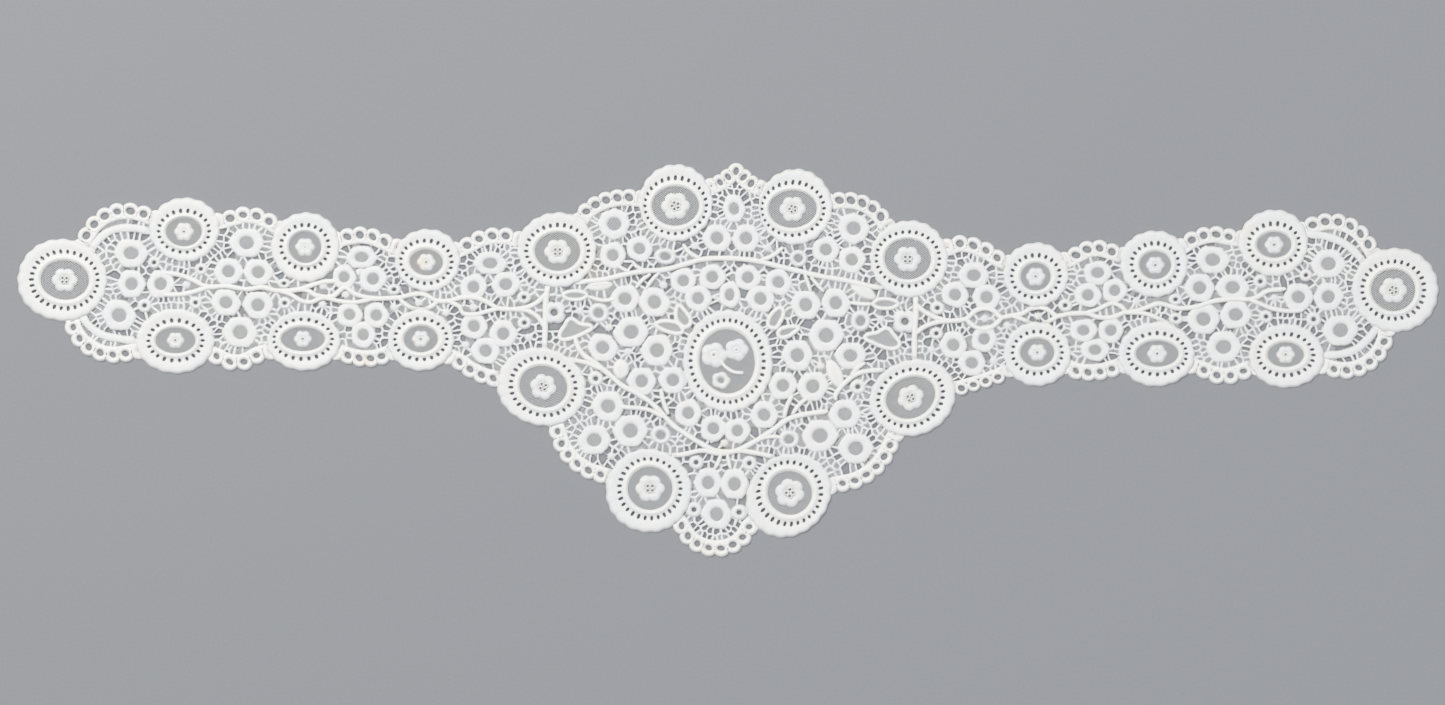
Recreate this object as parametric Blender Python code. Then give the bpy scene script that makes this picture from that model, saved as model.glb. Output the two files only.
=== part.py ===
"""Bobbin lace lappet, laid flat: medallions, looped edging and a ground with florets and stems.

The lappet is set out as a lace maker does it, on a pricking: a card ruled in small squares, with
places counted from the card's upper-left corner, x to the right and y down. Places and widths below
are in squares of that card, and to_metres() turns them into metres. Heights are in metres above the
table that the lace lies on. Every piece has a flat underside and its raised work on top.
"""

import math
from collections import namedtuple
from functools import partial

import bmesh
import bpy
import numpy as np
from mathutils import Vector
from mathutils.geometry import delaunay_2d_cdt

PARENT = "lappet"

# Driving dimensions
LAPPET_LENGTH = 0.600
CARD_LENGTH = 1422.0
CARD_STEP = LAPPET_LENGTH / CARD_LENGTH
CARD_MIDDLE = (728.0, 359.9)
CARD_SIDES = (0.0, 1450.0)
CARD_ENDS = (0.0, 720.0)
SEAM = 0.0003 / CARD_STEP

# Heights of the upper face, in metres
CLOTH = 0.0010
GROOVE = 0.0011
RIM_CROWN = 0.0018
CORD_CROWN = 0.0022
FLOWER_CROWN = 0.0019
PETAL_CROWN = 0.0018
RING_CROWN = 0.0017
LEAF_CROWN = 0.0017
STEM_CROWN = 0.0020
EDGING_CROWN = 0.0016

# Shares of an oval's size at which its raised work turns
RIM_SHARE = 0.55
CORD_SHARE = 0.48
PETAL_SHARE = 0.68
PETAL_NOTCH = 0.16
LEAF_NOTCH = 0.2
LEAF_EDGE_SHARE = 0.78
LEAF_NET_SHARE = 0.52
NET_SHARE = 0.44
FLOWER_SHARE = 0.55

# The edging, in squares
EDGING_HALF = 8.9
EDGING_NOTCH = 0.84
EDGING_INNER = 0.92
LOOP_CROWN = 5.3
ANCHOR_SHARE = 0.55

# Corners that each kind of line is drawn with
MEDALLION_SIDES = 20
CENTRE_SIDES = 24
INNER_SIDES = 12
FLOWER_SIDES = 6
LOOP_SIDES = 6
WELL_SIDES = 5
KNOT_SIDES = 7
LEAF_SIDES = 8
GAP_SIDES = 6

# The least distance that counts, in squares
HAIR = 1e-9

# Corners of the plan nearer to each other than this, in squares, are made one
MERGE = 0.05

Medallion = namedtuple(
    "Medallion", "name x y rx ry turn inner_x inner_y eyelet_rx eyelet_ry net_rx net_ry flower")
Edging = namedtuple("Edging", "name x1 y1 x2 y2 bulge loops half peaked", defaults=(EDGING_HALF, False))
Floret = namedtuple("Floret", "x y rx ry petals", defaults=(6,))
Ring = namedtuple("Ring", "x y rx ry")
Leaf = namedtuple("Leaf", "x y rx ry turn netted")
Stem = namedtuple("Stem", "half places")
Gap = namedtuple("Gap", "x y radius")
Finish = namedtuple("Finish", "color roughness")

# The border, clockwise from the left tip: each edging run joins the medallion in its row to the next
MEDALLIONS = (
    Medallion("medallion_tip_left", 62.5, 280, 45.5, 42, 0, 65, 280, 32.7, 28.5, 23.8, 19.8, 13),
    Medallion("medallion_top_1", 184.5, 229.7, 36.5, 32.7, 0, 184, 231.5, 25.5, 20.3, 18, 14.3, 10),
    Medallion("medallion_top_2", 305.5, 247.3, 35.5, 35.8, 0, 305, 246.8, 24, 21.5, 16.2, 15.7, 10),
    Medallion("medallion_top_3", 427.3, 260.3, 34, 32.3, 0, 426, 262, 25.8, 21.5, 16.5, 13, 9.5),
    Medallion("medallion_top_4", 557, 250, 40.3, 38.3, 0, 557.5, 251.3, 31, 26, 22.3, 19, 13.5),
    Medallion("medallion_top_5", 676, 203, 37.8, 39.2, 0, 675.7, 206, 31, 27.5, 23.3, 19.4, 14.5),
    Medallion("medallion_top_6", 795.5, 207, 38.2, 38.5, 0, 792.7, 209, 31.5, 26, 24.2, 18.3, 13.5),
    Medallion("medallion_top_7", 909, 259, 40.3, 39.5, 0, 907.8, 258.8, 32, 27, 23.2, 20.2, 14),
    Medallion("medallion_top_8", 1036, 274.5, 34, 33, 0, 1035.7, 276.3, 24.5, 21, 15, 13.8, 10),
    Medallion("medallion_top_9", 1154, 264, 35.2, 34.3, 0, 1154.8, 264.8, 23.5, 21.5, 15.8, 13.8, 9.5),
    Medallion("medallion_top_10", 1273.5, 243, 35.3, 34, 0, 1274, 244.5, 25, 20.5, 17, 12.7, 9.5),
    Medallion("medallion_tip_right", 1395, 290, 44, 43, 0, 1393, 290, 30.5, 28.5, 21.7, 21, 14),
    Medallion("medallion_low_10", 1286.5, 355.8, 38.6, 32.8, 0, 1286, 355, 27.5, 20.5, 18, 12.3, 9.5),
    Medallion("medallion_low_9", 1156.5, 354, 39, 33, 0, 1157.5, 354, 29, 20.3, 21, 12.8, 10),
    Medallion("medallion_low_8", 1037.4, 354, 34.4, 32.8, 0, 1037.4, 352.8, 24.5, 20.8, 16.5, 14, 9.3),
    Medallion("medallion_low_7", 912.5, 397.5, 45, 38.3, -20, 910.5, 397.5, 33, 27.5, 25, 20, 13.5),
    Medallion("medallion_low_6", 788.7, 495, 46, 39.8, -45, 789.7, 493, 31, 31, 21.5, 22, 15),
    Medallion("medallion_low_5", 649, 490.5, 43.5, 42.5, 0, 650, 488.7, 30, 29.3, 21.8, 21.3, 14.5),
    Medallion("medallion_low_4", 541.5, 386.5, 46, 39.5, 15, 543.5, 386.5, 32.5, 28, 24, 20.3, 13.5),
    Medallion("medallion_low_3", 421, 340.3, 34.5, 31.2, 0, 421.2, 339.3, 26.5, 20, 17, 13, 9),
    Medallion("medallion_low_2", 304, 340.7, 37.5, 30.6, 0, 303.3, 339.3, 29, 19.5, 21.5, 11.8, 9),
    Medallion("medallion_low_1", 175.5, 341, 40, 33, 0, 175.8, 340.7, 26.5, 19.5, 19.5, 12.5, 8.7),
)
CENTRE_MEDALLION = Medallion(
    "medallion_centre", 727.8, 361, 45.7, 52.5, 0, 727.2, 361.2, 36.5, 41.4, 27.3, 32.2, 17)

EDGINGS = (
    Edging("edging_top_1", 87, 235.6, 143.4, 214, 11.6, 6),
    Edging("edging_top_2", 230.5, 219, 269, 221.5, 5.2, 4),
    Edging("edging_top_3", 347.8, 237.3, 385, 242.2, 4, 4),
    Edging("edging_top_4", 467.5, 246, 506.3, 236.2, 3.8, 4),
    Edging("edging_top_5", 586, 212.2, 629, 197.3, 4.8, 5),
    Edging("edging_top_6", 720.4, 182.3, 751, 183.4, 12, 5, 8.6, True),
    Edging("edging_top_7", 839.8, 200.5, 880.4, 216.6, 6, 5),
    Edging("edging_top_8", 960.3, 243.9, 996.8, 258.3, 3.4, 4),
    Edging("edging_top_9", 1076.4, 255.5, 1112, 252.2, 5.3, 4),
    Edging("edging_top_10", 1192, 240.5, 1229.3, 237, 4, 4),
    Edging("edging_top_11", 1312.3, 225.5, 1368.6, 244.2, 11.8, 6),
    Edging("edging_low_11", 1384, 342, 1333.7, 368.8, 11, 6),
    Edging("edging_low_10", 1243.4, 371, 1203.6, 370, 5.3, 4),
    Edging("edging_low_9", 1112, 368.6, 1075.6, 371, 2.3, 4),
    Edging("edging_low_8", 998, 377, 961.7, 388.5, 0, 4, 7.0),
    Edging("edging_low_7", 890, 445.6, 842, 483, 8.8, 6),
    Edging("edging_low_6", 749.4, 526.6, 681.4, 526, 22.5, 8),
    Edging("edging_low_5", 600.9, 474.2, 557.4, 431, 9.4, 6),
    Edging("edging_low_4", 493, 378.2, 459.7, 362.5, 2.5, 4),
    Edging("edging_low_3", 381.8, 355.8, 347.8, 355.8, 2.6, 4),
    Edging("edging_low_2", 257, 355, 216.4, 356.7, 7, 4),
    Edging("edging_low_1", 126, 353.3, 73, 327.6, 11.4, 6),
)

# The ground's florets, a row for each, by the stretch of the lappet that they are worked in
FLORETS = {
    "left tip": (
        Floret(131, 253.5, 17.5, 14.5), Floret(131.5, 284, 14.5, 14.3),
        Floret(161, 284.5, 14.5, 14.5), Floret(119, 315, 17.5, 16),
    ),
    "left arm, outer": (
        Floret(247, 243, 17, 15.5), Floret(228.5, 271.5, 14.5, 14), Floret(258, 272.5, 15, 14),
        Floret(226, 302.5, 15, 14), Floret(258, 305, 15.5, 14.5), Floret(240, 332, 17.5, 16.5),
    ),
    "left arm, middle": (
        Floret(362, 257.5, 16, 11.5), Floret(344.5, 277, 12.5, 12.5, 5), Floret(373, 279, 13.8, 13.8, 5),
        Floret(349.5, 314.5, 13.3, 13, 5), Floret(376, 315, 13.3, 12.8, 5), Floret(363, 334.5, 13, 13.5, 5),
    ),
    "left arm, inner": (
        Floret(490.5, 263.5, 17, 12), Floret(474, 287, 13.7, 13.7, 5), Floret(506, 284.7, 14.7, 13.2),
        Floret(474, 326, 13.7, 13.7, 5), Floret(503, 333.5, 14.3, 14.3), Floret(485.5, 350.5, 14.5, 14.3),
    ),
    "crown, left": (
        Floret(614, 224, 17, 15.5, 8), Floret(613, 255.5, 13.7, 13.7, 5), Floret(640, 249, 13.7, 13.3, 5),
        Floret(717, 238.5, 14.5, 14.5), Floret(733.7, 208.5, 11.7, 14.7),
    ),
    "crown, right": (
        Floret(746, 238.5, 14.5, 14.5), Floret(826, 250, 13.7, 13.5, 5), Floret(851.5, 260, 14, 13.8, 5),
        Floret(853.5, 228.5, 16.3, 15.7, 8),
    ),
    "centre, left of the oval": (
        Floret(625.5, 299, 15.3, 14), Floret(654.5, 302.5, 15.5, 16), Floret(683, 280.5, 13.5, 13.2, 5),
        Floret(698, 298.3, 14, 14, 5), Floret(631, 332, 17.3, 16), Floret(603, 347.3, 15.3, 14.7),
        Floret(657, 350.5, 16.7, 16.3), Floret(712, 277, 13.8, 13.3, 5),
    ),
    "centre, right of the oval": (
        Floret(748, 278, 13.8, 13.3, 5), Floret(778.7, 282.3, 13.8, 13.8, 5), Floret(730, 294.7, 11, 14, 5),
        Floret(761, 299.3, 14.3, 14.3), Floret(805.7, 304.7, 14.7, 15.7), Floret(835.7, 302.7, 14.7, 15.2),
        Floret(826, 335.5, 18, 17.3), Floret(797.3, 355.5, 16, 16), Floret(851, 355.3, 16, 14.3),
    ),
    "below the oval, left": (
        Floret(641.5, 381, 14.7, 14.7), Floret(673, 380, 14.8, 14.2), Floret(608, 406.5, 17, 15.8),
        Floret(630.5, 431, 17.5, 17.2), Floret(594, 440, 17.2, 15.3), Floret(688.5, 413, 13.8, 14, 5),
        Floret(713, 428.7, 13.5, 13.5, 5),
    ),
    "below the oval, right": (
        Floret(782.7, 385.3, 14.8, 14.3), Floret(813, 386.7, 15.8, 15.7), Floret(764, 415, 14.7, 14.3),
        Floret(845, 414.3, 16.3, 15.3), Floret(820, 435.7, 18, 16.7), Floret(855.5, 448.5, 17.5, 16),
        Floret(737, 431, 13.3, 13.3, 5),
    ),
    "foot": (
        Floret(707.8, 482.5, 14.7, 15.3), Floret(734.5, 483.7, 15, 15.7), Floret(717, 514, 15.3, 16.2),
    ),
    "right arm, inner": (
        Floret(973.5, 275.5, 15.7, 13.5), Floret(955, 294.6, 13.8, 13.5, 5), Floret(986.5, 297.7, 14.5, 13.8),
        Floret(953.3, 345, 14.5, 14.2), Floret(984.3, 338.7, 13.5, 13.5, 5), Floret(972, 362.6, 14.7, 13.3),
    ),
    "right arm, middle": (
        Floret(1097.5, 273, 14.7, 12.2, 5), Floret(1088, 295, 13.5, 12.8, 5),
        Floret(1114.5, 291, 12.7, 12.7, 5),
        Floret(1083, 330, 14, 12.2, 5), Floret(1110.5, 330.5, 13.5, 12.7, 5),
        Floret(1095, 349.5, 14.7, 11.8, 5),
    ),
    "right arm, outer": (
        Floret(1213, 260, 17.2, 14.5), Floret(1200, 287.7, 15.3, 14.7), Floret(1232.7, 288, 16.5, 14.3),
        Floret(1203.3, 318.7, 16.5, 15.7), Floret(1235.3, 315, 16.3, 14.3), Floret(1223.3, 346.7, 18.3, 16),
    ),
    "right tip": (
        Floret(1328.3, 264, 17.5, 15.2), Floret(1298.5, 297, 15.7, 14.3), Floret(1328.8, 296.7, 15, 14.7),
        Floret(1340.3, 330, 17.5, 16.2),
    ),
}

# Small rings, a row for each
RINGS = {
    "left arm": (
        Ring(154, 263, 6.3, 6), Ring(145, 305.7, 7.2, 6.8), Ring(201.3, 268.7, 6.5, 6),
        Ring(196, 302.7, 6.5, 6.3), Ring(284, 284, 6.5, 5), Ring(285, 303.7, 7, 6),
        Ring(394, 290, 7, 5.5), Ring(524, 298, 7, 6.3), Ring(524, 323.3, 7, 6.3),
    ),
    "centre": (
        Ring(599, 312.7, 11.3, 10.7), Ring(665.5, 256, 12, 9), Ring(798.7, 258, 9.7, 9.2),
        Ring(860.7, 320.7, 10.8, 11.2), Ring(595.5, 379, 7.7, 7.7), Ring(858, 386.7, 8, 7.7),
        Ring(661, 434.8, 11, 10.2), Ring(789.3, 439, 11.2, 10), Ring(696, 462.3, 7.3, 7),
        Ring(749.7, 463.7, 7.5, 7.3), Ring(694, 510, 8, 7.7), Ring(739.7, 512, 8.3, 7.7),
        Ring(905, 321.7, 12.7, 12.3), Ring(554, 312.5, 12.5, 12),
    ),
    "right arm": (
        Ring(937.3, 308, 7.3, 6.7), Ring(936, 333.7, 6.8, 6.3), Ring(1065.5, 305.3, 7, 6.3),
        Ring(1176, 299.3, 7, 5.8), Ring(1176, 318.7, 7, 6), Ring(1260, 281.4, 7, 7),
        Ring(1265.7, 316.8, 6.8, 6.5), Ring(1305.6, 275.2, 6.5, 6), Ring(1313.8, 319, 7.5, 7.3),
    ),
}

# Leaves, a row for each: lenses of cloth or net, along the direction of their turn
LEAVES = (
    Leaf(574.5, 294.8, 17.7, 7.5, 2, True),
    Leaf(884.7, 303.7, 17.7, 7, 2, True),
    Leaf(600, 285.5, 13, 6, -5, False),
    Leaf(863, 290.5, 16, 6.5, 33, False),
    Leaf(574.5, 330, 18.5, 11.5, -14, True),
    Leaf(882.5, 338.5, 19, 11, 22, True),
    Leaf(682, 316.5, 15.5, 10, 72, True),
    Leaf(668.5, 327, 17, 9, 8, True),
    Leaf(776, 318, 15.5, 9.5, 112, True),
    Leaf(787.7, 331, 16.7, 8.7, -13, True),
    Leaf(620, 368, 13.3, 8, 92, False),
    Leaf(835, 374, 16.5, 8, 66, False),
)

# Stems: half of each one's width, and the places that it runs through. The ground is joined along the
# outer side of the two upright ones.
UPRIGHT_LEFT = Stem(3.3, ((549, 276), (547, 290), (545.5, 304), (545, 322), (545, 360)))
UPRIGHT_RIGHT = Stem(3.3, ((916, 286), (916, 312), (914.5, 332), (914.5, 372)))
STEMS = {
    "half-moons at the tips": (
        Stem(4.0, ((97, 249), (103, 241), (113, 234.5), (128, 230.5), (146, 229))),
        Stem(4.0, ((83, 317), (89, 326), (99, 333.5), (114, 338), (136, 339))),
        Stem(4.0, ((1314, 236), (1330, 238), (1343, 243), (1353, 250), (1361, 259))),
        Stem(4.0, ((1324, 354), (1342, 353.5), (1356, 349), (1367, 340.5), (1375, 330))),
    ),
    "left arm": (
        Stem(2.8, ((166, 274), (180, 275), (194, 280), (208, 286.5), (226, 286), (246, 289), (262, 287.5))),
        Stem(2.8, ((166, 295), (182, 294.5), (196, 291), (208, 286.5))),
        Stem(2.6, ((262, 287.5), (276, 291), (292, 290.5), (303, 286), (312, 278.5), (323, 275.5),
                   (335, 281))),
        Stem(2.6, ((292, 290.5), (306, 290), (318, 295.5), (333, 296), (345, 287.5), (356, 294), (372, 298))),
        Stem(2.6, ((276, 291), (292, 294.5), (302, 301), (312, 302), (324, 297.5), (340, 301), (356, 302),
                   (372, 298))),
        Stem(2.8, ((372, 298), (386, 298.5), (400, 298), (410, 295.5), (423, 294), (437, 300.5))),
        Stem(2.8, ((400, 298), (407, 306), (419, 310), (430, 307.5), (437, 300.5))),
        Stem(2.8, ((437, 300.5), (450, 300.5), (462, 297.5), (476, 297.5), (488, 302), (498, 308),
                   (512, 309.5))),
        Stem(2.6, ((450, 300.5), (459, 306), (464, 313.5), (476, 314), (487, 311), (498, 308))),
        Stem(2.8, ((512, 309.5), (526, 308), (538, 302), (546, 293))),
        Stem(2.8, ((512, 309.5), (528, 311.5), (538, 318), (545, 328))),
    ),
    "over the oval": (
        Stem(3.0, ((589, 281), (604, 279.5), (622, 275.5), (644, 271.5), (664, 269.5), (684, 264),
                   (704, 259.3),
                   (728, 258.5), (752, 260.5), (776, 265.5), (800, 271), (822, 276.5), (846, 280.5),
                   (872, 287))),
        Stem(2.5, ((683, 243.5), (689, 252), (700, 259))),
        Stem(2.5, ((784, 246.5), (773, 255.5), (760, 261))),
        Stem(2.2, ((616, 264), (622, 268.5), (631, 273))),
        Stem(2.2, ((632, 261), (637, 267), (646, 271))),
        Stem(2.2, ((651, 274), (642, 281), (636, 289))),
        Stem(2.2, ((660, 272), (652, 280.5), (646, 290))),
        Stem(2.2, ((804, 273), (808, 283), (811, 292))),
        Stem(2.2, ((810, 276), (817, 284.5), (824, 292))),
    ),
    "lower left spray": (
        Stem(3.0, ((579, 341), (584, 352), (595, 363), (609, 374.5), (622, 386), (634, 394), (650, 402.5),
                   (664, 413), (678, 424), (692, 432), (706, 440), (724, 451.5))),
        Stem(2.6, ((573, 361), (587, 362.5), (600, 368))),
        Stem(2.6, ((620, 407), (636, 408), (650, 410), (664, 417))),
        Stem(2.6, ((661, 388), (663.5, 400), (669, 414))),
        Stem(2.8, ((664, 452), (684, 452.5), (704, 449.5), (724, 451.5))),
    ),
    "lower right spray": (
        Stem(3.0, ((724, 451.5), (744, 445), (760, 435.5), (774, 426.5), (786, 417), (800, 413),
                   (829, 411.5))),
        Stem(2.6, ((784, 418), (787, 406), (793, 394))),
        Stem(2.4, ((792, 414.5), (800, 404), (808, 398))),
        Stem(2.8, ((724, 451.5), (744, 452), (760, 454.5), (774, 456))),
        Stem(2.8, ((834, 396), (844, 384), (856, 374), (870, 370.5), (886, 370))),
        Stem(2.6, ((866, 362), (857, 368), (850, 378))),
        Stem(2.4, ((721, 453), (718.5, 461), (714, 469))),
        Stem(2.4, ((727, 453), (728.5, 461), (731, 469))),
    ),
    "right arm": (
        Stem(2.8, ((915, 303), (925, 312), (938, 318.5), (952, 320.5), (966, 318))),
        Stem(2.8, ((914.5, 334), (924, 327), (938, 322), (952, 320.5))),
        Stem(2.8, ((966, 318), (975, 310.5), (985, 308.5), (994, 311.5), (1001, 317.5))),
        Stem(2.8, ((966, 318), (974, 326), (985, 329), (994, 325.5), (1001, 317.5))),
        Stem(2.8, ((1001, 317.5), (1012, 316), (1022, 314), (1031, 308.5), (1041, 307), (1050, 311),
                   (1057, 316))),
        Stem(2.8, ((1012, 316), (1024, 320), (1033, 324.5), (1043, 324), (1052, 319.5), (1057, 316))),
        Stem(2.8, ((1057, 316), (1070, 313.5), (1086, 313), (1098, 309), (1110, 304), (1121, 307))),
        Stem(2.8, ((1086, 313), (1098, 317), (1112, 317.5), (1124, 313), (1136, 311.5), (1148, 307),
                   (1160, 303.5))),
        Stem(2.6, ((1121, 307), (1124, 313), (1136, 313), (1148, 314.5), (1159, 319))),
        Stem(2.8, ((1160, 303.5), (1178, 308), (1196, 306.5), (1214, 301), (1232, 299.5), (1250, 299.5))),
        Stem(2.8, ((1250, 299.5), (1259, 296), (1268, 290.5), (1284, 288.5))),
        Stem(2.8, ((1250, 299.5), (1260, 304), (1272, 308.5), (1288, 311), (1302, 310))),
    ),
}

# The widest open places of the ground, a row for each
GAPS = (
    Gap(115, 274, 4.7), Gap(228, 252, 3.8), Gap(531, 329, 4.8), Gap(555, 327, 4.5), Gap(600, 330, 4.2),
    Gap(712, 303, 4.2), Gap(743, 297, 4.2), Gap(808, 325, 4.2), Gap(883, 357, 4.5), Gap(927, 342, 5.4),
    Gap(985, 356, 4.8), Gap(1283, 281, 4.4), Gap(603, 459, 4.7), Gap(784, 402, 4.2), Gap(753.5, 432.5, 4.2),
    Gap(845, 468, 4.7), Gap(740, 500, 4.7),
)

MEDALLION_THREAD = Finish((0.86, 0.87, 0.87, 1.0), 0.85)
EDGING_THREAD = Finish((0.90, 0.89, 0.86, 1.0), 0.85)
GROUND_THREAD = Finish((0.84, 0.85, 0.86, 1.0), 0.85)


def blend(start, end, share):
    """The value at a share of the way from start to end."""
    return start + (end - start) * share


def to_metres(x, y, z):
    """A place on the card and a height, as a point in metres with +Y up the card."""
    return Vector(((x - CARD_MIDDLE[0]) * CARD_STEP, (CARD_MIDDLE[1] - y) * CARD_STEP, z))


def within(edges, x, y):
    """Whether each place lies inside the closed edges, pairs of corners, by counting what is crossed."""
    inside = np.zeros(np.shape(x), bool)
    for (x1, y1), (x2, y2) in edges:
        if y1 != y2:
            inside ^= ((y1 > y) != (y2 > y)) & (x < blend(x1, x2, (y - y1) / (y2 - y1)))
    return inside


def closed(line):
    """The edges of a closed line of corners."""
    return list(zip(line, line[1:] + line[:1]))


def in_any(lines, x, y):
    """Whether each place lies inside one of the closed lines."""
    inside = np.zeros(np.shape(x), bool)
    for line in lines:
        inside |= within(closed(line), x, y)
    return inside


def highest(motifs, x, y):
    """The height of the cloth at each place, with the motifs' raised work on it."""
    top = np.full(np.shape(x), CLOTH)
    for motif in motifs:
        top = np.maximum(top, motif.height(x, y))
    return top


def beside(places, reach):
    """A line of places, moved sideways by reach, to the left hand of one who walks along it."""
    moved = []
    for i, (x, y) in enumerate(places):
        x1, y1 = places[max(i - 1, 0)]
        x2, y2 = places[min(i + 1, len(places) - 1)]
        length = math.hypot(x2 - x1, y2 - y1)
        moved.append((x + (y2 - y1) / length * reach, y - (x2 - x1) / length * reach))
    return moved


class Oval:
    """An oval on the card, plain or with lobes, whose edge lies at one height."""

    def __init__(self, x, y, rx, ry, height, turn=0.0, lobes=0, notch=0.0):
        self.x, self.y, self.rx, self.ry = x, y, rx, ry
        self.height = height
        self.turn = math.radians(turn)
        self.lobes, self.notch = lobes, notch

    def corners(self, sides):
        """The corners of the oval, evenly round it from its first axis."""
        places = []
        for i in range(sides):
            angle = 2 * math.pi * i / sides
            reach = 1 - self.notch * (1 - math.cos(self.lobes * angle)) / 2
            u = self.rx * reach * math.cos(angle)
            v = self.ry * reach * math.sin(angle)
            across = u * math.cos(self.turn) - v * math.sin(self.turn)
            down = u * math.sin(self.turn) + v * math.cos(self.turn)
            places.append((self.x + across, self.y + down))
        return places

    def share(self, x, y):
        """How far out each place lies, from 0 in the middle to 1 on the edge."""
        across, down = x - self.x, y - self.y
        u = (across * math.cos(self.turn) + down * math.sin(self.turn)) / self.rx
        v = (down * math.cos(self.turn) - across * math.sin(self.turn)) / self.ry
        reach = 1 - self.notch * (1 - np.cos(self.lobes * np.arctan2(v, u))) / 2
        return np.hypot(u, v) / reach


class Nest:
    """Ovals inside one another, from the edge inwards, with the cloth rising and falling between them."""

    def __init__(self, ovals, sides):
        self.ovals, self.sides = ovals, sides

    def lines(self):
        """The closed lines that the nest is drawn with."""
        return [oval.corners(count) for oval, count in zip(self.ovals, self.sides) if count]

    def height(self, x, y):
        """Height of the upper face at each place, or 0 outside the nest."""
        outer = self.ovals[0]
        inside = 1 - outer.share(x, y)
        top = np.where(inside >= 0, outer.height, 0.0)
        for inner in self.ovals[1:]:
            outside = inner.share(x, y) - 1
            way = inside / np.maximum(inside + outside, HAIR)
            between = (inside >= 0) & (outside > 0)
            top = np.where(between, blend(outer.height, inner.height, way), top)
            top = np.where(outside <= 0, inner.height, top)
            outer, inside = inner, -outside
        return top


class Strand:
    """A stem: a raised strand of cloth along a line of places."""

    def __init__(self, stem):
        self.places, self.half = stem.places, stem.half

    def lines(self):
        """The open lines of the stem's two edges and its ridge."""
        return [beside(self.places, self.half), list(self.places), beside(self.places, -self.half)]

    def away(self, x, y):
        """Distance from each place to the stem's middle line, in squares."""
        nearest = np.inf
        for (x1, y1), (x2, y2) in zip(self.places, self.places[1:]):
            run, drop = x2 - x1, y2 - y1
            along = ((x - x1) * run + (y - y1) * drop) / (run * run + drop * drop)
            along = np.clip(along, 0, 1)
            nearest = np.minimum(nearest, np.hypot(x - x1 - along * run, y - y1 - along * drop))
        return nearest

    def height(self, x, y):
        """Height of the upper face at each place, or 0 beside the stem."""
        rise = 1 - self.away(x, y) / self.half
        return np.where(rise > 0, blend(CLOTH, STEM_CROWN, rise), 0.0)


class Run:
    """A run of looped edging between two medallions of the border."""

    def __init__(self, edging, before, after):
        self.edging = edging
        self.holes = self.loop_places()
        first, last = self.holes[0], self.holes[-1]
        start = [blend(first[0], before.x, ANCHOR_SHARE), blend(first[1], before.y, ANCHOR_SHARE)]
        end = [blend(last[0], after.x, ANCHOR_SHARE), blend(last[1], after.y, ANCHOR_SHARE)]
        self.middle = [tuple(start)] + self.holes + [tuple(end)]

    def loop_places(self):
        """The middles of the loops, evenly along an arc, or along two straight sides to a peak."""
        run = self.edging
        across, down = run.x2 - run.x1, run.y2 - run.y1
        chord = math.hypot(across, down)
        along, out = (across / chord, down / chord), (down / chord, -across / chord)
        middle = ((run.x1 + run.x2) / 2, (run.y1 + run.y2) / 2)
        places = []
        for i in range(run.loops):
            share = 2 * i / (run.loops - 1) - 1
            if run.peaked or run.bulge == 0:
                forth, rise = share * chord / 2, run.bulge * (1 - abs(share))
            else:
                radius = (chord ** 2 / 4 + run.bulge ** 2) / (2 * run.bulge)
                angle = share * math.asin(chord / 2 / radius)
                forth, rise = radius * math.sin(angle), radius * math.cos(angle) - radius + run.bulge
            places.append((middle[0] + along[0] * forth + out[0] * rise,
                           middle[1] + along[1] * forth + out[1] * rise))
        return places

    def inner_line(self, gap=0.0):
        """The edge towards the ground, moved further in by gap."""
        return beside(self.middle, -self.edging.half * EDGING_INNER - gap)

    def outer_line(self):
        """The free edge, with one scallop for each loop."""
        half = self.edging.half
        crests = beside(self.middle, half)
        notches = []
        for (x1, y1), (x2, y2) in zip(self.middle, self.middle[1:]):
            notches.append(((x1 + x2) / 2, (y1 + y2) / 2))
        notches = beside(notches, half * EDGING_NOTCH)
        line = [crests[0]]
        for before, crest, after in zip(notches, crests[1:-1], notches[1:]):
            line.append(before)
            line.append((blend(crest[0], before[0], 0.45), blend(crest[1], before[1], 0.45)))
            line[-1] = self.pushed(line[-1], half)
            line.append(self.pushed((blend(crest[0], after[0], 0.45), blend(crest[1], after[1], 0.45)), half))
        return line + [notches[-1], crests[-1]]

    def pushed(self, place, half):
        """A place near the free edge, moved straight out from the nearest loop to the scallop's edge."""
        x, y = min(self.holes, key=lambda hole: math.dist(hole, place))
        reach = math.dist((x, y), place)
        return (blend(x, place[0], half / reach), blend(y, place[1], half / reach))

    def ring(self):
        """The run's whole outline."""
        return self.outer_line() + self.inner_line()[::-1]

    def loops(self):
        """The raised ring of each loop, with its middle sunk."""
        nests = []
        for x, y in self.holes:
            ovals = [Oval(x, y, self.edging.half, self.edging.half, CLOTH),
                     Oval(x, y, LOOP_CROWN, LOOP_CROWN, EDGING_CROWN),
                     Oval(x, y, HAIR, HAIR, CLOTH)]
            nests.append(Nest(ovals, (0, LOOP_SIDES, 1)))
        return nests


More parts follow.
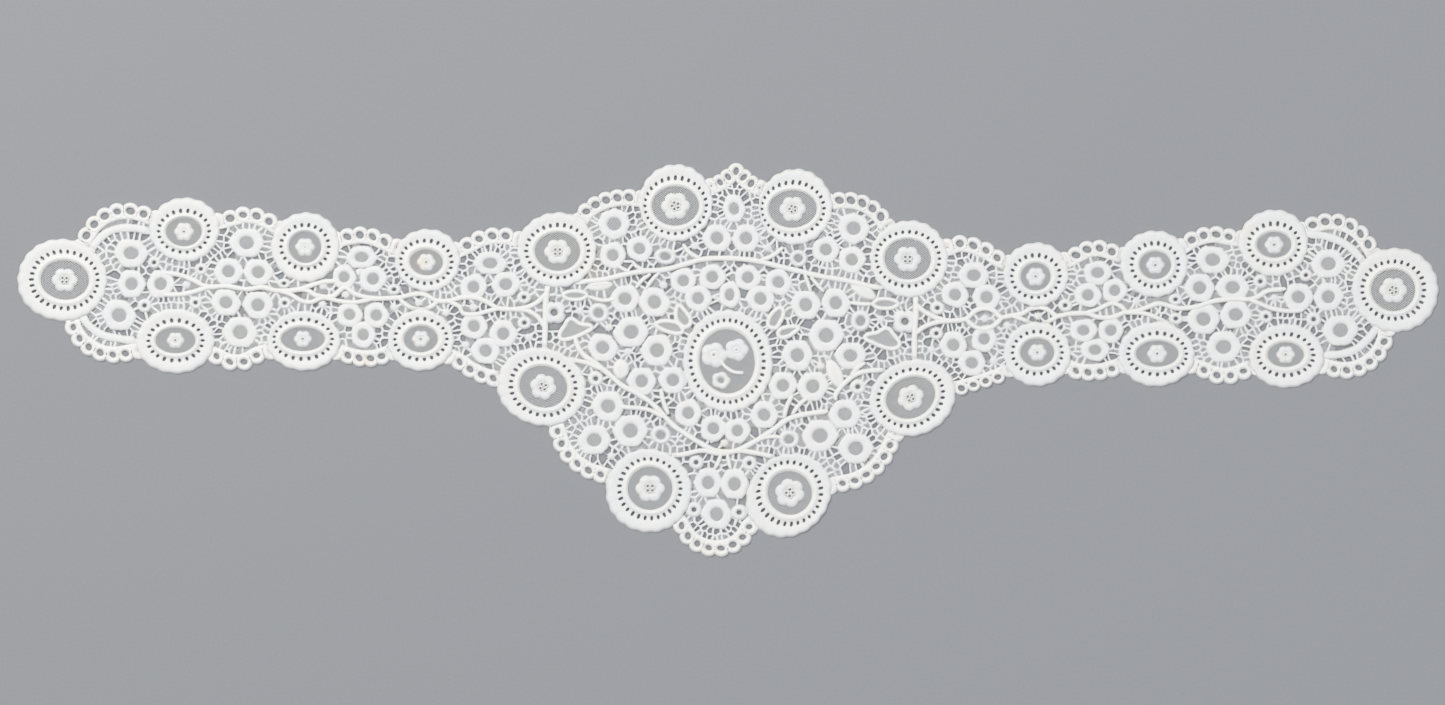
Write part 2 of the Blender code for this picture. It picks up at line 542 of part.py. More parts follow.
def medallion_nest(row, sides):
    """A medallion: cloth rim, eyelet groove, cord ring, net and a flower in the middle."""
    def inner(rx, ry, height):
        """One of the ovals about the medallion's inner centre."""
        return Oval(row.inner_x, row.inner_y, rx, ry, height, row.turn)

    edge = Oval(row.x, row.y, row.rx, row.ry, CLOTH, row.turn)
    rim = Oval(blend(row.inner_x, row.x, RIM_SHARE), blend(row.inner_y, row.y, RIM_SHARE),
               blend(row.eyelet_rx, row.rx, RIM_SHARE), blend(row.eyelet_ry, row.ry, RIM_SHARE),
               RIM_CROWN, row.turn)
    eyelets = inner(row.eyelet_rx, row.eyelet_ry, GROOVE)
    cord = inner(blend(row.net_rx, row.eyelet_rx, CORD_SHARE), blend(row.net_ry, row.eyelet_ry, CORD_SHARE),
                 CORD_CROWN)
    net = inner(row.net_rx, row.net_ry, CLOTH)
    flower = inner(row.flower, row.flower * 0.88, CLOTH)
    crest = inner(row.flower * FLOWER_SHARE, row.flower * FLOWER_SHARE, FLOWER_CROWN)
    counts = (sides, INNER_SIDES, INNER_SIDES, INNER_SIDES, INNER_SIDES, FLOWER_SIDES, FLOWER_SIDES)
    return Nest([edge, rim, eyelets, cord, net, flower, crest], counts)


def floret_nest(row):
    """A floret: notched petals that rise to a crown and fall again to a net middle."""
    ovals = [Oval(row.x, row.y, row.rx, row.ry, CLOTH, 0, row.petals, PETAL_NOTCH),
             Oval(row.x, row.y, row.rx * PETAL_SHARE, row.ry * PETAL_SHARE, PETAL_CROWN),
             Oval(row.x, row.y, row.rx * NET_SHARE, row.ry * NET_SHARE, GROOVE)]
    return Nest(ovals, (2 * row.petals, row.petals, WELL_SIDES))


def ring_nest(row):
    """A small ring: a raised knot of cloth."""
    ovals = [Oval(row.x, row.y, row.rx, row.ry, CLOTH),
             Oval(row.x, row.y, row.rx * NET_SHARE, row.ry * NET_SHARE, RING_CROWN)]
    return Nest(ovals, (KNOT_SIDES, 3))


def leaf_nest(row):
    """A leaf: cloth all over, or a raised edge round a net middle."""
    def layer(share, height):
        """The leaf's outline at a share of its size."""
        return Oval(row.x, row.y, row.rx * share, row.ry * share, height, row.turn, 2, LEAF_NOTCH)

    if row.netted:
        return Nest([layer(1, CLOTH), layer(LEAF_EDGE_SHARE, LEAF_CROWN), layer(LEAF_NET_SHARE, GROOVE)],
                    (LEAF_SIDES, LEAF_SIDES // 2 + 1, LEAF_SIDES // 2))
    return Nest([layer(1, CLOTH), layer(LEAF_NET_SHARE, LEAF_CROWN)], (LEAF_SIDES, LEAF_SIDES // 2))


def arrange(lines, open_lines=()):
    """Triangles that follow every line given.

    Lines is a list of closed rings and open_lines a list of open ones. The result is the list of
    places and the list of triangles, turned so that they face up in metres.
    """
    places, edges = [], []
    for line in list(lines) + list(open_lines):
        first = len(places)
        places.extend(Vector(place) for place in line)
        edges.extend((i, i + 1) for i in range(first, len(places) - 1))
    first = 0
    for line in lines:
        edges.append((first + len(line) - 1, first))
        first += len(line)
    spots, _, faces, _, _, _ = delaunay_2d_cdt(places, edges, [], 0, MERGE, False)
    triangles = [tuple(reversed(face)) for face in faces]
    return [tuple(spot) for spot in spots], triangles


def middles(places, triangles):
    """The middle of each triangle on the card, as x values and y values."""
    return np.array(places)[np.array(triangles)].mean(axis=1).T


def rim_edges(triangles):
    """The edges that only one triangle has, in its direction."""
    edges = {(a, b) for face in triangles for a, b in zip(face, face[1:] + face[:1])}
    return [(a, b) for a, b in edges if (b, a) not in edges]


def largest_piece(triangles):
    """The triangles of the largest connected piece."""
    by_edge = {(a, b): face for face in triangles for a, b in zip(face, face[1:] + face[:1])}
    left, best = set(triangles), []
    while left:
        piece = [left.pop()]
        for face in piece:
            for a, b in zip(face, face[1:] + face[:1]):
                other = by_edge.get((b, a))
                if other in left:
                    left.remove(other)
                    piece.append(other)
        if len(piece) > len(best):
            best = piece
    return best


def sheet(name, lines, open_lines, keep, motifs, thread):
    """A closed solid with a flat underside, whose upper face follows the lines and the motifs.

    Keep says which places, given as x values and y values, belong to the piece.
    """
    places, triangles = arrange(lines, open_lines)
    kept = keep(*middles(places, triangles))
    triangles = largest_piece([face for face, stays in zip(triangles, kept) if stays])
    rim = sorted(rim_edges(triangles))
    used = sorted({corner for face in triangles for corner in face})
    x, y = np.array([places[corner] for corner in used]).T
    origin = to_metres((x.min() + x.max()) / 2, (y.min() + y.max()) / 2, 0.0)

    shape = bmesh.new()
    top = {}
    for corner, z in zip(used, highest(motifs, x, y)):
        top[corner] = shape.verts.new(to_metres(*places[corner], z) - origin)
    low = {a: shape.verts.new(to_metres(*places[a], 0.0) - origin) for a, _ in rim}
    for face in triangles:
        shape.faces.new([top[corner] for corner in face])
    for a, b in rim:
        shape.faces.new((low[a], low[b], top[b], top[a]))
    for face in underside(places, rim):
        shape.faces.new([low[corner] for corner in face])
    bmesh.ops.recalc_face_normals(shape, faces=shape.faces)

    mesh = bpy.data.meshes.new(name)
    shape.to_mesh(mesh)
    shape.free()
    mesh.materials.append(thread_material(name, thread))
    piece = bpy.data.objects.new(name, mesh)
    piece.location = origin
    piece.parent = bpy.data.objects[PARENT]
    bpy.context.collection.objects.link(piece)


def underside(places, rim):
    """The triangles that close an outline with no corners but its own."""
    order = sorted({corner for edge in rim for corner in edge})
    number = {corner: i for i, corner in enumerate(order)}
    edges = [(number[a], number[b]) for a, b in rim]
    corners = [Vector(places[corner]) for corner in order]
    spots, _, faces, origins, _, _ = delaunay_2d_cdt(corners, edges, [], 0, HAIR, True)
    outline = [(places[a], places[b]) for a, b in rim]
    inside = within(outline, *middles([tuple(spot) for spot in spots], faces))
    return [[order[origins[corner][0]] for corner in face] for face, stays in zip(faces, inside) if stays]


def thread_material(name, thread):
    """A piece's own material, of one kind of thread."""
    material = bpy.data.materials.new(name)
    material.use_nodes = True
    shader = material.node_tree.nodes["Principled BSDF"]
    shader.inputs["Base Color"].default_value = thread.color
    shader.inputs["Roughness"].default_value = thread.roughness
    shader.inputs["Metallic"].default_value = 0.0
    return material


def make_medallions():
    """Every medallion of the border, and the oval one in the centre."""
    rows = [(row, MEDALLION_SIDES) for row in MEDALLIONS] + [(CENTRE_MEDALLION, CENTRE_SIDES)]
    for row, sides in rows:
        nest = medallion_nest(row, sides)
        edge = closed(nest.lines()[0])
        sheet(row.name, nest.lines(), [], partial(within, edge), [nest], MEDALLION_THREAD)


def cut_ring(row, sides):
    """A medallion's outline with the seam's gap outside it."""
    return Oval(row.x, row.y, row.rx + SEAM, row.ry + SEAM, CLOTH, row.turn).corners(sides)


def make_edging(runs):
    """Every run of the looped edging, cut off where it meets its two medallions."""
    for run, row, following in zip(runs, MEDALLIONS, MEDALLIONS[1:] + MEDALLIONS[:1]):
        ends = [cut_ring(row, MEDALLION_SIDES), cut_ring(following, MEDALLION_SIDES)]
        loops = run.loops()
        outline = run.ring()

        def keep(x, y):
            """Whether each place is on the run and clear of its medallions."""
            return within(closed(outline), x, y) & ~in_any(ends, x, y)

        lines = [outline] + ends + [line for loop in loops for line in loop.lines()]
        sheet(run.edging.name, lines, [], keep, loops, EDGING_THREAD)


def stretch_side(upright, reach, above, below):
    """The line that ends a stretch of ground: from medallion to medallion, beside an upright stem."""
    start = [(above.x, CARD_ENDS[0]), (above.x, above.y)]
    end = [(below.x, below.y), (below.x, CARD_ENDS[1])]
    return start + beside(upright.places, reach) + end


def stretches():
    """Each stretch of ground: its name, and the lines that end it on its left and on its right."""
    by_name = {row.name: row for row in MEDALLIONS}
    left = [UPRIGHT_LEFT, by_name["medallion_top_4"], by_name["medallion_low_4"]]
    right = [UPRIGHT_RIGHT, by_name["medallion_top_7"], by_name["medallion_low_7"]]
    card_left, card_right = ([(side, end) for end in CARD_ENDS] for side in CARD_SIDES)
    half_left, half_right = UPRIGHT_LEFT.half, UPRIGHT_RIGHT.half
    return (
        ("ground_left", card_left, stretch_side(left[0], -half_left - SEAM, *left[1:])),
        ("ground_centre", stretch_side(left[0], -half_left, *left[1:]),
         stretch_side(right[0], half_right, *right[1:])),
        ("ground_right", stretch_side(right[0], half_right + SEAM, *right[1:]), card_right),
    )


def make_ground(runs):
    """The three stretches of ground, each with the motifs that reach into it."""
    motifs = [floret_nest(row) for rows in FLORETS.values() for row in rows]
    motifs += [ring_nest(row) for rows in RINGS.values() for row in rows]
    motifs += [leaf_nest(row) for row in LEAVES]
    strands = [Strand(stem) for stems in STEMS.values() for stem in stems]
    strands += [Strand(UPRIGHT_LEFT), Strand(UPRIGHT_RIGHT)]
    outline = [place for run in runs for place in run.inner_line(SEAM)]
    cuts = [cut_ring(row, MEDALLION_SIDES) for row in MEDALLIONS]
    cuts.append(cut_ring(CENTRE_MEDALLION, CENTRE_SIDES))
    cuts += [Oval(gap.x, gap.y, gap.radius, gap.radius, CLOTH).corners(GAP_SIDES) for gap in GAPS]

    for name, left, right in stretches():
        def keep(x, y):
            """Whether each place is in this stretch and clear of the medallions and the open places."""
            here = within(closed(left + right[::-1]), x, y) & within(closed(outline), x, y)
            return here & ~in_any(cuts, x, y)

        def reaches_in(line):
            """Whether one of a line's places is in this stretch."""
            return keep(*np.array(line).T).any()

        nests = [motif for motif in motifs if reaches_in(motif.lines()[0])]
        stems = [strand for strand in strands if reaches_in(strand.places)]
        lines = [outline] + cuts + [line for nest in nests for line in nest.lines()]
        open_lines = [left, right] + [line for stem in stems for line in stem.lines()]
        sheet(name, lines, open_lines, keep, nests + stems, GROUND_THREAD)


def main():
    """Clear the scene and make every piece of the lappet."""
    for old in list(bpy.data.objects):
        bpy.data.objects.remove(old)
    bpy.context.collection.objects.link(bpy.data.objects.new(PARENT, None))
    following = MEDALLIONS[1:] + MEDALLIONS[:1]
    runs = [Run(edging, before, after) for edging, before, after in zip(EDGINGS, MEDALLIONS, following)]
    make_medallions()
    make_edging(runs)
    make_ground(runs)


main()
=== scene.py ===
"""Looks of the bobbin lace lappet: medallions, looped edging, florets, stems and the thread ground.

Places and widths are in squares of the lace maker's card, counted from its upper-left corner with x to
the right and y down, as on the pricking that the solids were set out on, and metres() turns them into
metres. Heights are in metres above the table.
"""
import logging
import math
from dataclasses import dataclass, field
from enum import Enum
from functools import lru_cache
from typing import Callable, Iterable, Sequence

import bmesh
import bpy
import numpy as np
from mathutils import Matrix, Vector
from mathutils.geometry import delaunay_2d_cdt
from mathutils.kdtree import KDTree


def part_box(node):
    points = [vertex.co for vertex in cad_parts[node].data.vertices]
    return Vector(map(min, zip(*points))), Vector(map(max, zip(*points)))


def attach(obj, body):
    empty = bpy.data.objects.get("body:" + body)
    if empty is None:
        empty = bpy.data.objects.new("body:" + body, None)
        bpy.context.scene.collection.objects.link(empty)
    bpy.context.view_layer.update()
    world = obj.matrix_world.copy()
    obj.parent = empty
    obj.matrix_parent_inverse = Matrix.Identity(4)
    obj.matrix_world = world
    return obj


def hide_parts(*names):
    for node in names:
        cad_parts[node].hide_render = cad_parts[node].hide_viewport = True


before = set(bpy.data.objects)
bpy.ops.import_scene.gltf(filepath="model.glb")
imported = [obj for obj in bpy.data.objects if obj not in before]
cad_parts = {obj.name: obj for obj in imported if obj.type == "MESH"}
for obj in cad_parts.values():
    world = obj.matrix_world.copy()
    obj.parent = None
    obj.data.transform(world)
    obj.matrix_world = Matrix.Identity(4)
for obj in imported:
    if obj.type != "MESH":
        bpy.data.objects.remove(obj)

log = logging.getLogger("lappet")

SEED = 11

# Driving dimensions of the card
LAPPET_LENGTH = 0.600
CARD_LENGTH = 1422.0
CARD_STEP = LAPPET_LENGTH / CARD_LENGTH
CARD_MIDDLE = (728.0, 359.9)

# Heights above the table, in metres
FOOT = 0.00012
NET_LEVEL = 0.00085
NET_HEIGHT = 0.0001
NET_STEP = 0.0001
GROUND_LEVEL = 0.00060
LEAF_CROWN = 0.0017
STEM_CROWN = 0.0018
MOON_CROWN = 0.0014
FLOWER_CROWN = 0.0019
FOOT_CORD_CROWN = 0.0013

# Cloth that reaches a medallion dips under its rim: shares of the medallion's size, and a height
TUCK_FROM = 1.05
TUCKED = 0.985
TUCK_END = 0.93
TUCK_LEVEL = 0.0003

# How far handwork strays from the card, and how near together a cord's places are, in squares
STRAY = 0.35
CORD_PITCH = 1.3

Array = np.ndarray
Spot = tuple[float, float]
Tone = tuple[float, float, float, float]
Field = Callable[[Array, Array], Array]
Sockets = dict[int | str, object]


class Part(Enum):
    """What a stretch of lace is worked in, which is also its material slot."""

    CLOTH = 0
    CORD = 1
    NET = 2


class Lay(Enum):
    """How the threads of a finish lie."""

    WOVEN = "woven"
    OVERCAST = "overcast"
    TWISTED = "twisted"


def turned(degrees: float) -> tuple[float, float]:
    """The cosine and the sine of a turn in degrees."""
    return math.cos(math.radians(degrees)), math.sin(math.radians(degrees))


def blend(start: float, end: float, share: float) -> float:
    """The value at a share of the way from start to end."""
    return start + (end - start) * share


def ease(low: float, high: float, value: Array) -> Array:
    """A soft step from 0 at low to 1 at high, either way round."""
    way = np.clip((value - low) / (high - low), 0, 1)
    return way * way * (3 - 2 * way)


def metres(x: Array, y: Array, z: Array | float) -> Array:
    """Places on the card as points in metres, with the small strays of handwork.

    Args:
        x: places across the card, in squares.
        y: places down the card, in squares.
        z: heights in metres.

    Returns:
        One row of three coordinates for each place.
    """
    across = x + STRAY * np.sin(x / 23 + y / 31) + STRAY / 2 * np.sin(y / 8.5 + 1.3)
    down = y + STRAY * np.sin(x / 19 - y / 27 + 0.7) + STRAY / 2 * np.sin(x / 9.5)
    right = (across - CARD_MIDDLE[0]) * CARD_STEP
    forward = (CARD_MIDDLE[1] - down) * CARD_STEP
    return np.stack(np.broadcast_arrays(right, forward, z), axis=-1)


@dataclass
class Form:
    """A mesh held as arrays: points, corners of faces, and the thread directions on them."""

    places: Array
    corners: Array
    counts: Array
    threads: Array

    @classmethod
    def read(cls, mesh: bpy.types.Mesh) -> "Form":
        """The form of a Blender mesh.

        Args:
            mesh: the mesh to read.

        Returns:
            The form, with thread directions of 0 where the mesh has no UV map.
        """
        places = np.empty((len(mesh.vertices), 3))
        mesh.vertices.foreach_get("co", places.ravel())
        corners = np.empty(len(mesh.loops), np.int32)
        mesh.loops.foreach_get("vertex_index", corners)
        counts = np.empty(len(mesh.polygons), np.int32)
        mesh.polygons.foreach_get("loop_total", counts)
        threads = np.zeros((len(mesh.loops), 2))
        if "thread" in mesh.uv_layers:
            mesh.uv_layers["thread"].data.foreach_get("uv", threads.ravel())
        return cls(places, corners, counts, threads)

    def faces(self) -> Array:
        """The number of the face that each corner belongs to."""
        return np.repeat(np.arange(len(self.counts)), self.counts)

    def mesh(self, name: str) -> bpy.types.Mesh:
        """The form as a smooth Blender mesh with its UV map.

        Args:
            name: the mesh's name.

        Returns:
            The mesh.
        """
        made = bpy.data.meshes.new(name)
        made.vertices.add(len(self.places))
        made.vertices.foreach_set("co", self.places.astype(np.float32).ravel())
        made.loops.add(len(self.corners))
        made.loops.foreach_set("vertex_index", self.corners.astype(np.int32))
        made.polygons.add(len(self.counts))
        made.polygons.foreach_set("loop_start", (np.cumsum(self.counts) - self.counts).astype(np.int32))
        layer = made.uv_layers.new(name="thread")
        layer.data.foreach_set("uv", self.threads.astype(np.float32).ravel())
        made.update(calc_edges=True)
        made.shade_smooth()
        return made

    def smoothed(self, levels: int) -> "Form":
        """The form after a subdivision surface.

        Args:
            levels: the surface's levels.

        Returns:
            The smoothed form.
        """
        holder = bpy.data.objects.new("smoothing", self.mesh("smoothing"))
        bpy.context.collection.objects.link(holder)
        surface = holder.modifiers.new("surface", "SUBSURF")
        surface.levels = surface.render_levels = levels
        return taken(evaluated(holder))

    def opened(self) -> bmesh.types.BMesh:
        """The form as a bmesh to work on.

        Returns:
            The bmesh.
        """
        shape, mesh = bmesh.new(), self.mesh("opened")
        shape.from_mesh(mesh)
        bpy.data.meshes.remove(mesh)
        return shape

    def tucked(self, ovals: Iterable["Oval"]) -> "Form":
        """The form tucked under the rims of some medallions, without what they hide.

        Args:
            ovals: the medallions' outlines.

        Returns:
            The form that is left.
        """
        form = self
        for oval in ovals:
            x = form.places[:, 0] / CARD_STEP + CARD_MIDDLE[0]
            y = CARD_MIDDLE[1] - form.places[:, 1] / CARD_STEP
            share = oval.share(x, y)
            if not len(share) or share.min() >= TUCK_FROM:
                continue
            places = form.places.copy()
            tucked = ease(TUCK_FROM, TUCKED, share)
            places[:, 2] = blend(places[:, 2], np.minimum(places[:, 2], TUCK_LEVEL), tucked)
            face = form.faces()
            out = np.bincount(face, weights=share[form.corners] > TUCK_END, minlength=len(form.counts)) > 0
            stays = out[face]
            used, corners = np.unique(form.corners[stays], return_inverse=True)
            form = Form(places[used], corners.astype(np.int32), form.counts[out], form.threads[stays])
        return form


def taken(mesh: bpy.types.Mesh) -> Form:
    """The form of a mesh that is then removed.

    Args:
        mesh: the mesh.

    Returns:
        Its form.
    """
    form = Form.read(mesh)
    bpy.data.meshes.remove(mesh)
    return form


def closed_up(shape: bmesh.types.BMesh) -> Form:
    """The form of a bmesh, which is then freed.

    Args:
        shape: the bmesh.

    Returns:
        Its form.
    """
    mesh = bpy.data.meshes.new("worked")
    shape.to_mesh(mesh)
    shape.free()
    return taken(mesh)


def evaluated(holder: bpy.types.Object) -> bpy.types.Mesh:
    """The finished mesh of an object with modifiers or of a curve, which is then removed.

    Args:
        holder: the object, linked to the scene.

    Returns:
        Its mesh as evaluated.
    """
    graph = bpy.context.evaluated_depsgraph_get()
    made = bpy.data.meshes.new_from_object(holder.evaluated_get(graph), depsgraph=graph)
    data = holder.data
    bpy.data.objects.remove(holder)
    if isinstance(data, bpy.types.Curve):
        bpy.data.curves.remove(data)
    else:
        bpy.data.meshes.remove(data)
    return made


@dataclass(frozen=True)
class Oval:
    """An oval on the card; its turn is in degrees."""

    x: float
    y: float
    rx: float
    ry: float
    turn: float = 0.0

    def at(self, reach: Array, angle: Array) -> tuple[Array, Array]:
        """Places at a share of the oval's size and an angle round it.

        Args:
            reach: share of the oval's size.
            angle: angle in radians.

        Returns:
            The places across and down the card.
        """
        u, v = self.rx * reach * np.cos(angle), self.ry * reach * np.sin(angle)
        cos, sin = turned(self.turn)
        return self.x + u * cos - v * sin, self.y + u * sin + v * cos

    def share(self, x: Array, y: Array) -> Array:
        """How far out places lie, from 0 in the middle to 1 on the oval.

        Args:
            x: places across the card.
            y: places down the card.

        Returns:
            The share of the oval's size at each place.
        """
        cos, sin = turned(self.turn)
        across, down = x - self.x, y - self.y
        u, v = across * cos + down * sin, down * cos - across * sin
        return np.hypot(u / self.rx, v / self.ry)

    def away(self, x: Array, y: Array) -> Array:
        """About how far places lie outside the oval, in squares, and less than 0 inside."""
        return (self.share(x, y) - 1) * (self.rx + self.ry) / 2

    def grown(self, share: float) -> "Oval":
        """The same oval at a share of its size."""
        return Oval(self.x, self.y, self.rx * share, self.ry * share, self.turn)


@lru_cache(maxsize=None)
def ringed(shares: tuple[float, ...], segments: int, filled: bool = False) -> Form:
    """A flat washer or disc of rings, extruded outwards from the first.

    Args:
        shares: radius of each ring.
        segments: corners on each ring.
        filled: whether the middle is closed.

    Returns:
        The form, facing up, with each point at its share and angle.
    """
    shape = bmesh.new()
    bmesh.ops.create_circle(shape, cap_ends=filled, segments=segments, radius=shares[0])
    edges = list(shape.edges)
    for before, after in zip(shares, shares[1:]):
        grown = bmesh.ops.extrude_edge_only(shape, edges=edges)["geom"]
        verts = [part for part in grown if isinstance(part, bmesh.types.BMVert)]
        fresh = set(verts)
        edges = [part for part in grown
                 if isinstance(part, bmesh.types.BMEdge) and set(part.verts) <= fresh]
        bmesh.ops.scale(shape, vec=(after / before, after / before, 1), verts=verts)
    bmesh.ops.recalc_face_normals(shape, faces=shape.faces)
    if sum(face.normal.z for face in shape.faces) < 0:
        bmesh.ops.reverse_faces(shape, faces=shape.faces)
    return closed_up(shape)


# A medallion's eyelets: columns of the washer to each, how long they are as shares of the rings beside
# them, how far their corners and sides move in as shares of a column, and how near a point is to its ring
EYELET_COLUMNS = 4
EYELET_SIZES = (0.4, 0.85)
EYELET_CORNER = 0.3
EYELET_SQUEEZE = 0.15
NEAR_RING = 1e-4
RIM_SEEK = 0.02

# Threads that run round a form are spaced as they lie on this share of its size
MIDDLE_ROUND = 0.75


@lru_cache(maxsize=None)
def pierced(shares: tuple[float, ...], holed: int, eyelets: int) -> Form:
    """A washer of rings with a round of small eyelets, whose edges are turned down.

    Args:
        shares: radius of each ring.
        holed: number of the ring that the eyelets lie on.
        eyelets: how many eyelets there are.

    Returns:
        The form; a point's third coordinate says how far it is turned down, from 0 to 1.
    """
    segments = EYELET_COLUMNS * eyelets
    shape = ringed(shares, segments).opened()
    pitch = 2 * math.pi / segments
    sizes = np.random.default_rng(eyelets).uniform(*EYELET_SIZES, eyelets + 1)
    low, middle, high = shares[holed - 1:holed + 2]
    centres = []
    for vert in shape.verts:
        share, angle = vert.co.xy.length, math.atan2(vert.co.y, vert.co.x)
        column = round(angle / pitch) % EYELET_COLUMNS
        inward = {1: -pitch, EYELET_COLUMNS - 1: pitch}.get(column, 0.0)
        if min(abs(share - ring) for ring in (low, middle, high)) > NEAR_RING:
            continue
        if abs(share - middle) < NEAR_RING:
            angle += EYELET_SQUEEZE * inward
            if column == 0:
                centres.append(vert)
        else:
            angle += EYELET_CORNER * inward
            if inward:
                share = blend(middle, share, sizes[round(angle / (EYELET_COLUMNS * pitch)) % eyelets])
        if inward:
            vert.co = Vector((share * math.cos(angle), share * math.sin(angle), 0))
    bmesh.ops.delete(shape, geom=centres, context="VERTS")
    rims = [edge for edge in shape.edges if edge.is_boundary
            and low - RIM_SEEK < (edge.verts[0].co + edge.verts[1].co).xy.length / 2 < high + RIM_SEEK]
    grown = bmesh.ops.extrude_edge_only(shape, edges=rims)["geom"]
    verts = [part for part in grown if isinstance(part, bmesh.types.BMVert)]
    bmesh.ops.translate(shape, vec=(0, 0, 1), verts=verts)
    return closed_up(shape)


def polar(form: Form) -> tuple[Array, Array]:
    """The share and the angle of each point of a flat form, with angles that turn down the card."""
    across, up, _ = form.places.T
    return np.hypot(across, up), -np.arctan2(up, across)


def raised(flat: Form, place: tuple[Array, Array], z: Array, size: float, start: float = 0.0) -> Form:
    """A flat form put at its places on the card, with threads that follow its rings.

    Args:
        flat: the flat form.
        place: the points' places across and down the card.
        z: their heights in metres.
        size: size of the form in squares where its share is 1.
        start: the share that lies on the threads' first ring.

    Returns:
        The form in metres.
    """
    share, angle = polar(flat)
    face = flat.faces()
    turn = angle[flat.corners]
    highest = np.full(len(flat.counts), -2 * math.pi)
    np.maximum.at(highest, face, turn)
    turn = np.where(highest[face] - turn > math.pi, turn + 2 * math.pi, turn)
    scale = size * CARD_STEP
    threads = np.stack([turn * scale * MIDDLE_ROUND, (share - start)[flat.corners] * scale], axis=1)
    return Form(metres(*place, z), flat.corners, flat.counts, threads)


class Skein:
    """Threads laid along lines of places, wound as the splines of one curve and read back as a form."""

    def __init__(self, resolution: int = 0) -> None:
        """Start a skein of threads with 4 sides.

        Args:
            resolution: how many steps of 2 more sides the threads have.
        """
        self.curve = bpy.data.curves.new("skein", "CURVE")
        self.curve.dimensions = "3D"
        self.curve.twist_mode = "Z_UP"
        self.curve.bevel_depth = 1.0
        self.curve.bevel_resolution = resolution
        self.sides = 4 + 2 * resolution
        self.levels: list[Array] = []
        self.flatness: list[Array] = []
        self.along: list[Array] = []
        self.whole: list[Array] = []
        self.girth: list[Array] = []

    def lay(self, x: Array, y: Array, z: Array | float, radius: Array | float,
            height: Array | float = 0.0, closed: bool = False) -> None:
        """Lay one thread.

        Args:
            x: places across the card.
            y: places down the card.
            z: heights of the thread's middle, in metres.
            radius: half of the thread's width at each place, in squares.
            height: the thread's height where it is pressed flatter than it is wide, or 0.
            closed: whether it ends where it starts.
        """
        line = metres(np.asarray(x, float), np.asarray(y, float), np.asarray(z, float))
        wide = np.broadcast_to(np.asarray(radius, float) * CARD_STEP, (len(line),))
        spline = self.curve.splines.new("POLY")
        spline.points.add(len(line) - 1)
        spline.points.foreach_set("co", np.concatenate([line, np.ones((len(line), 1))], axis=1).ravel())
        spline.points.foreach_set("radius", wide.copy())
        spline.use_cyclic_u = closed
        steps = np.linalg.norm(np.roll(line, -1, axis=0) - line, axis=1)
        self.along.append(np.cumsum(steps) - steps)
        self.whole.append(np.full(len(line), np.sum(steps)))
        self.levels.append(line[:, 2])
        self.flatness.append(height / 2 / wide if np.any(height) else np.ones(len(line)))
        self.girth.append(wide * 2 * math.pi)

    def form(self) -> Form | None:
        """The form of all the threads; the curve is then gone.

        Returns:
            The form, or None where there are no threads.
        """
        if not self.levels:
            bpy.data.curves.remove(self.curve)
            return None
        holder = bpy.data.objects.new("skein", self.curve)
        bpy.context.collection.objects.link(holder)
        form = taken(evaluated(holder))
        ring = np.arange(len(form.places)) // self.sides
        level, flat = np.concatenate(self.levels), np.concatenate(self.flatness)
        form.places[:, 2] = level[ring] + (form.places[:, 2] - level[ring]) * flat[ring]
        side = form.corners % self.sides
        face = form.faces()
        ends = [np.bincount(face, weights=side == end) for end in (0, self.sides - 1)]
        wraps = ends[0] * ends[1] > 0
        side = np.where(wraps[face] & (side == 0), self.sides, side)
        ring = form.corners // self.sides
        starts = np.cumsum(form.counts) - form.counts
        first, last = (pick.reduceat(ring, starts)[face] for pick in (np.minimum, np.maximum))
        closing = (last > first + 1) & (ring == first)
        along = np.where(closing, np.concatenate(self.whole)[ring], np.concatenate(self.along)[ring])
        girth = np.concatenate(self.girth)[ring]
        form.threads = np.stack([along, side / self.sides * girth], axis=1)
        return form


def runs(chosen: Array) -> list[tuple[int, int]]:
    """The first and the last number of each unbroken run of chosen places."""
    edges = np.flatnonzero(np.diff(np.concatenate([[0], chosen.astype(int), [0]])))
    return [(int(start), int(end) - 1) for start, end in zip(edges[::2], edges[1::2])]


def smooth_line(places: Sequence[Spot], pitch: float, closed: bool = False) -> tuple[Array, Array]:
    """A smooth line through places, with points about a pitch apart.

    Args:
        places: the places, in squares.
        pitch: distance between points, in squares.
        closed: whether the line ends where it starts.

    Returns:
        The points across and down the card.
    """
    if closed:
        spots = np.array([places[-1], *places, places[0], places[1]], float)
    else:
        spots = np.array([places[0], *places, places[-1]], float)
        spots[0] = 2 * spots[1] - spots[2]
        spots[-1] = 2 * spots[-2] - spots[-3]
    points = []
    for a, b, c, d in zip(spots, spots[1:], spots[2:], spots[3:]):
        count = max(1, round(float(np.hypot(*(c - b))) / pitch))
        for way in np.arange(count) / count:
            points.append(0.5 * (2 * b + (c - a) * way + (2 * a - 5 * b + 4 * c - d) * way ** 2
                                 + (3 * b - a - 3 * c + d) * way ** 3))
    if not closed:
        points.append(spots[-2])
    line = np.array(points)
    return line[:, 0], line[:, 1]


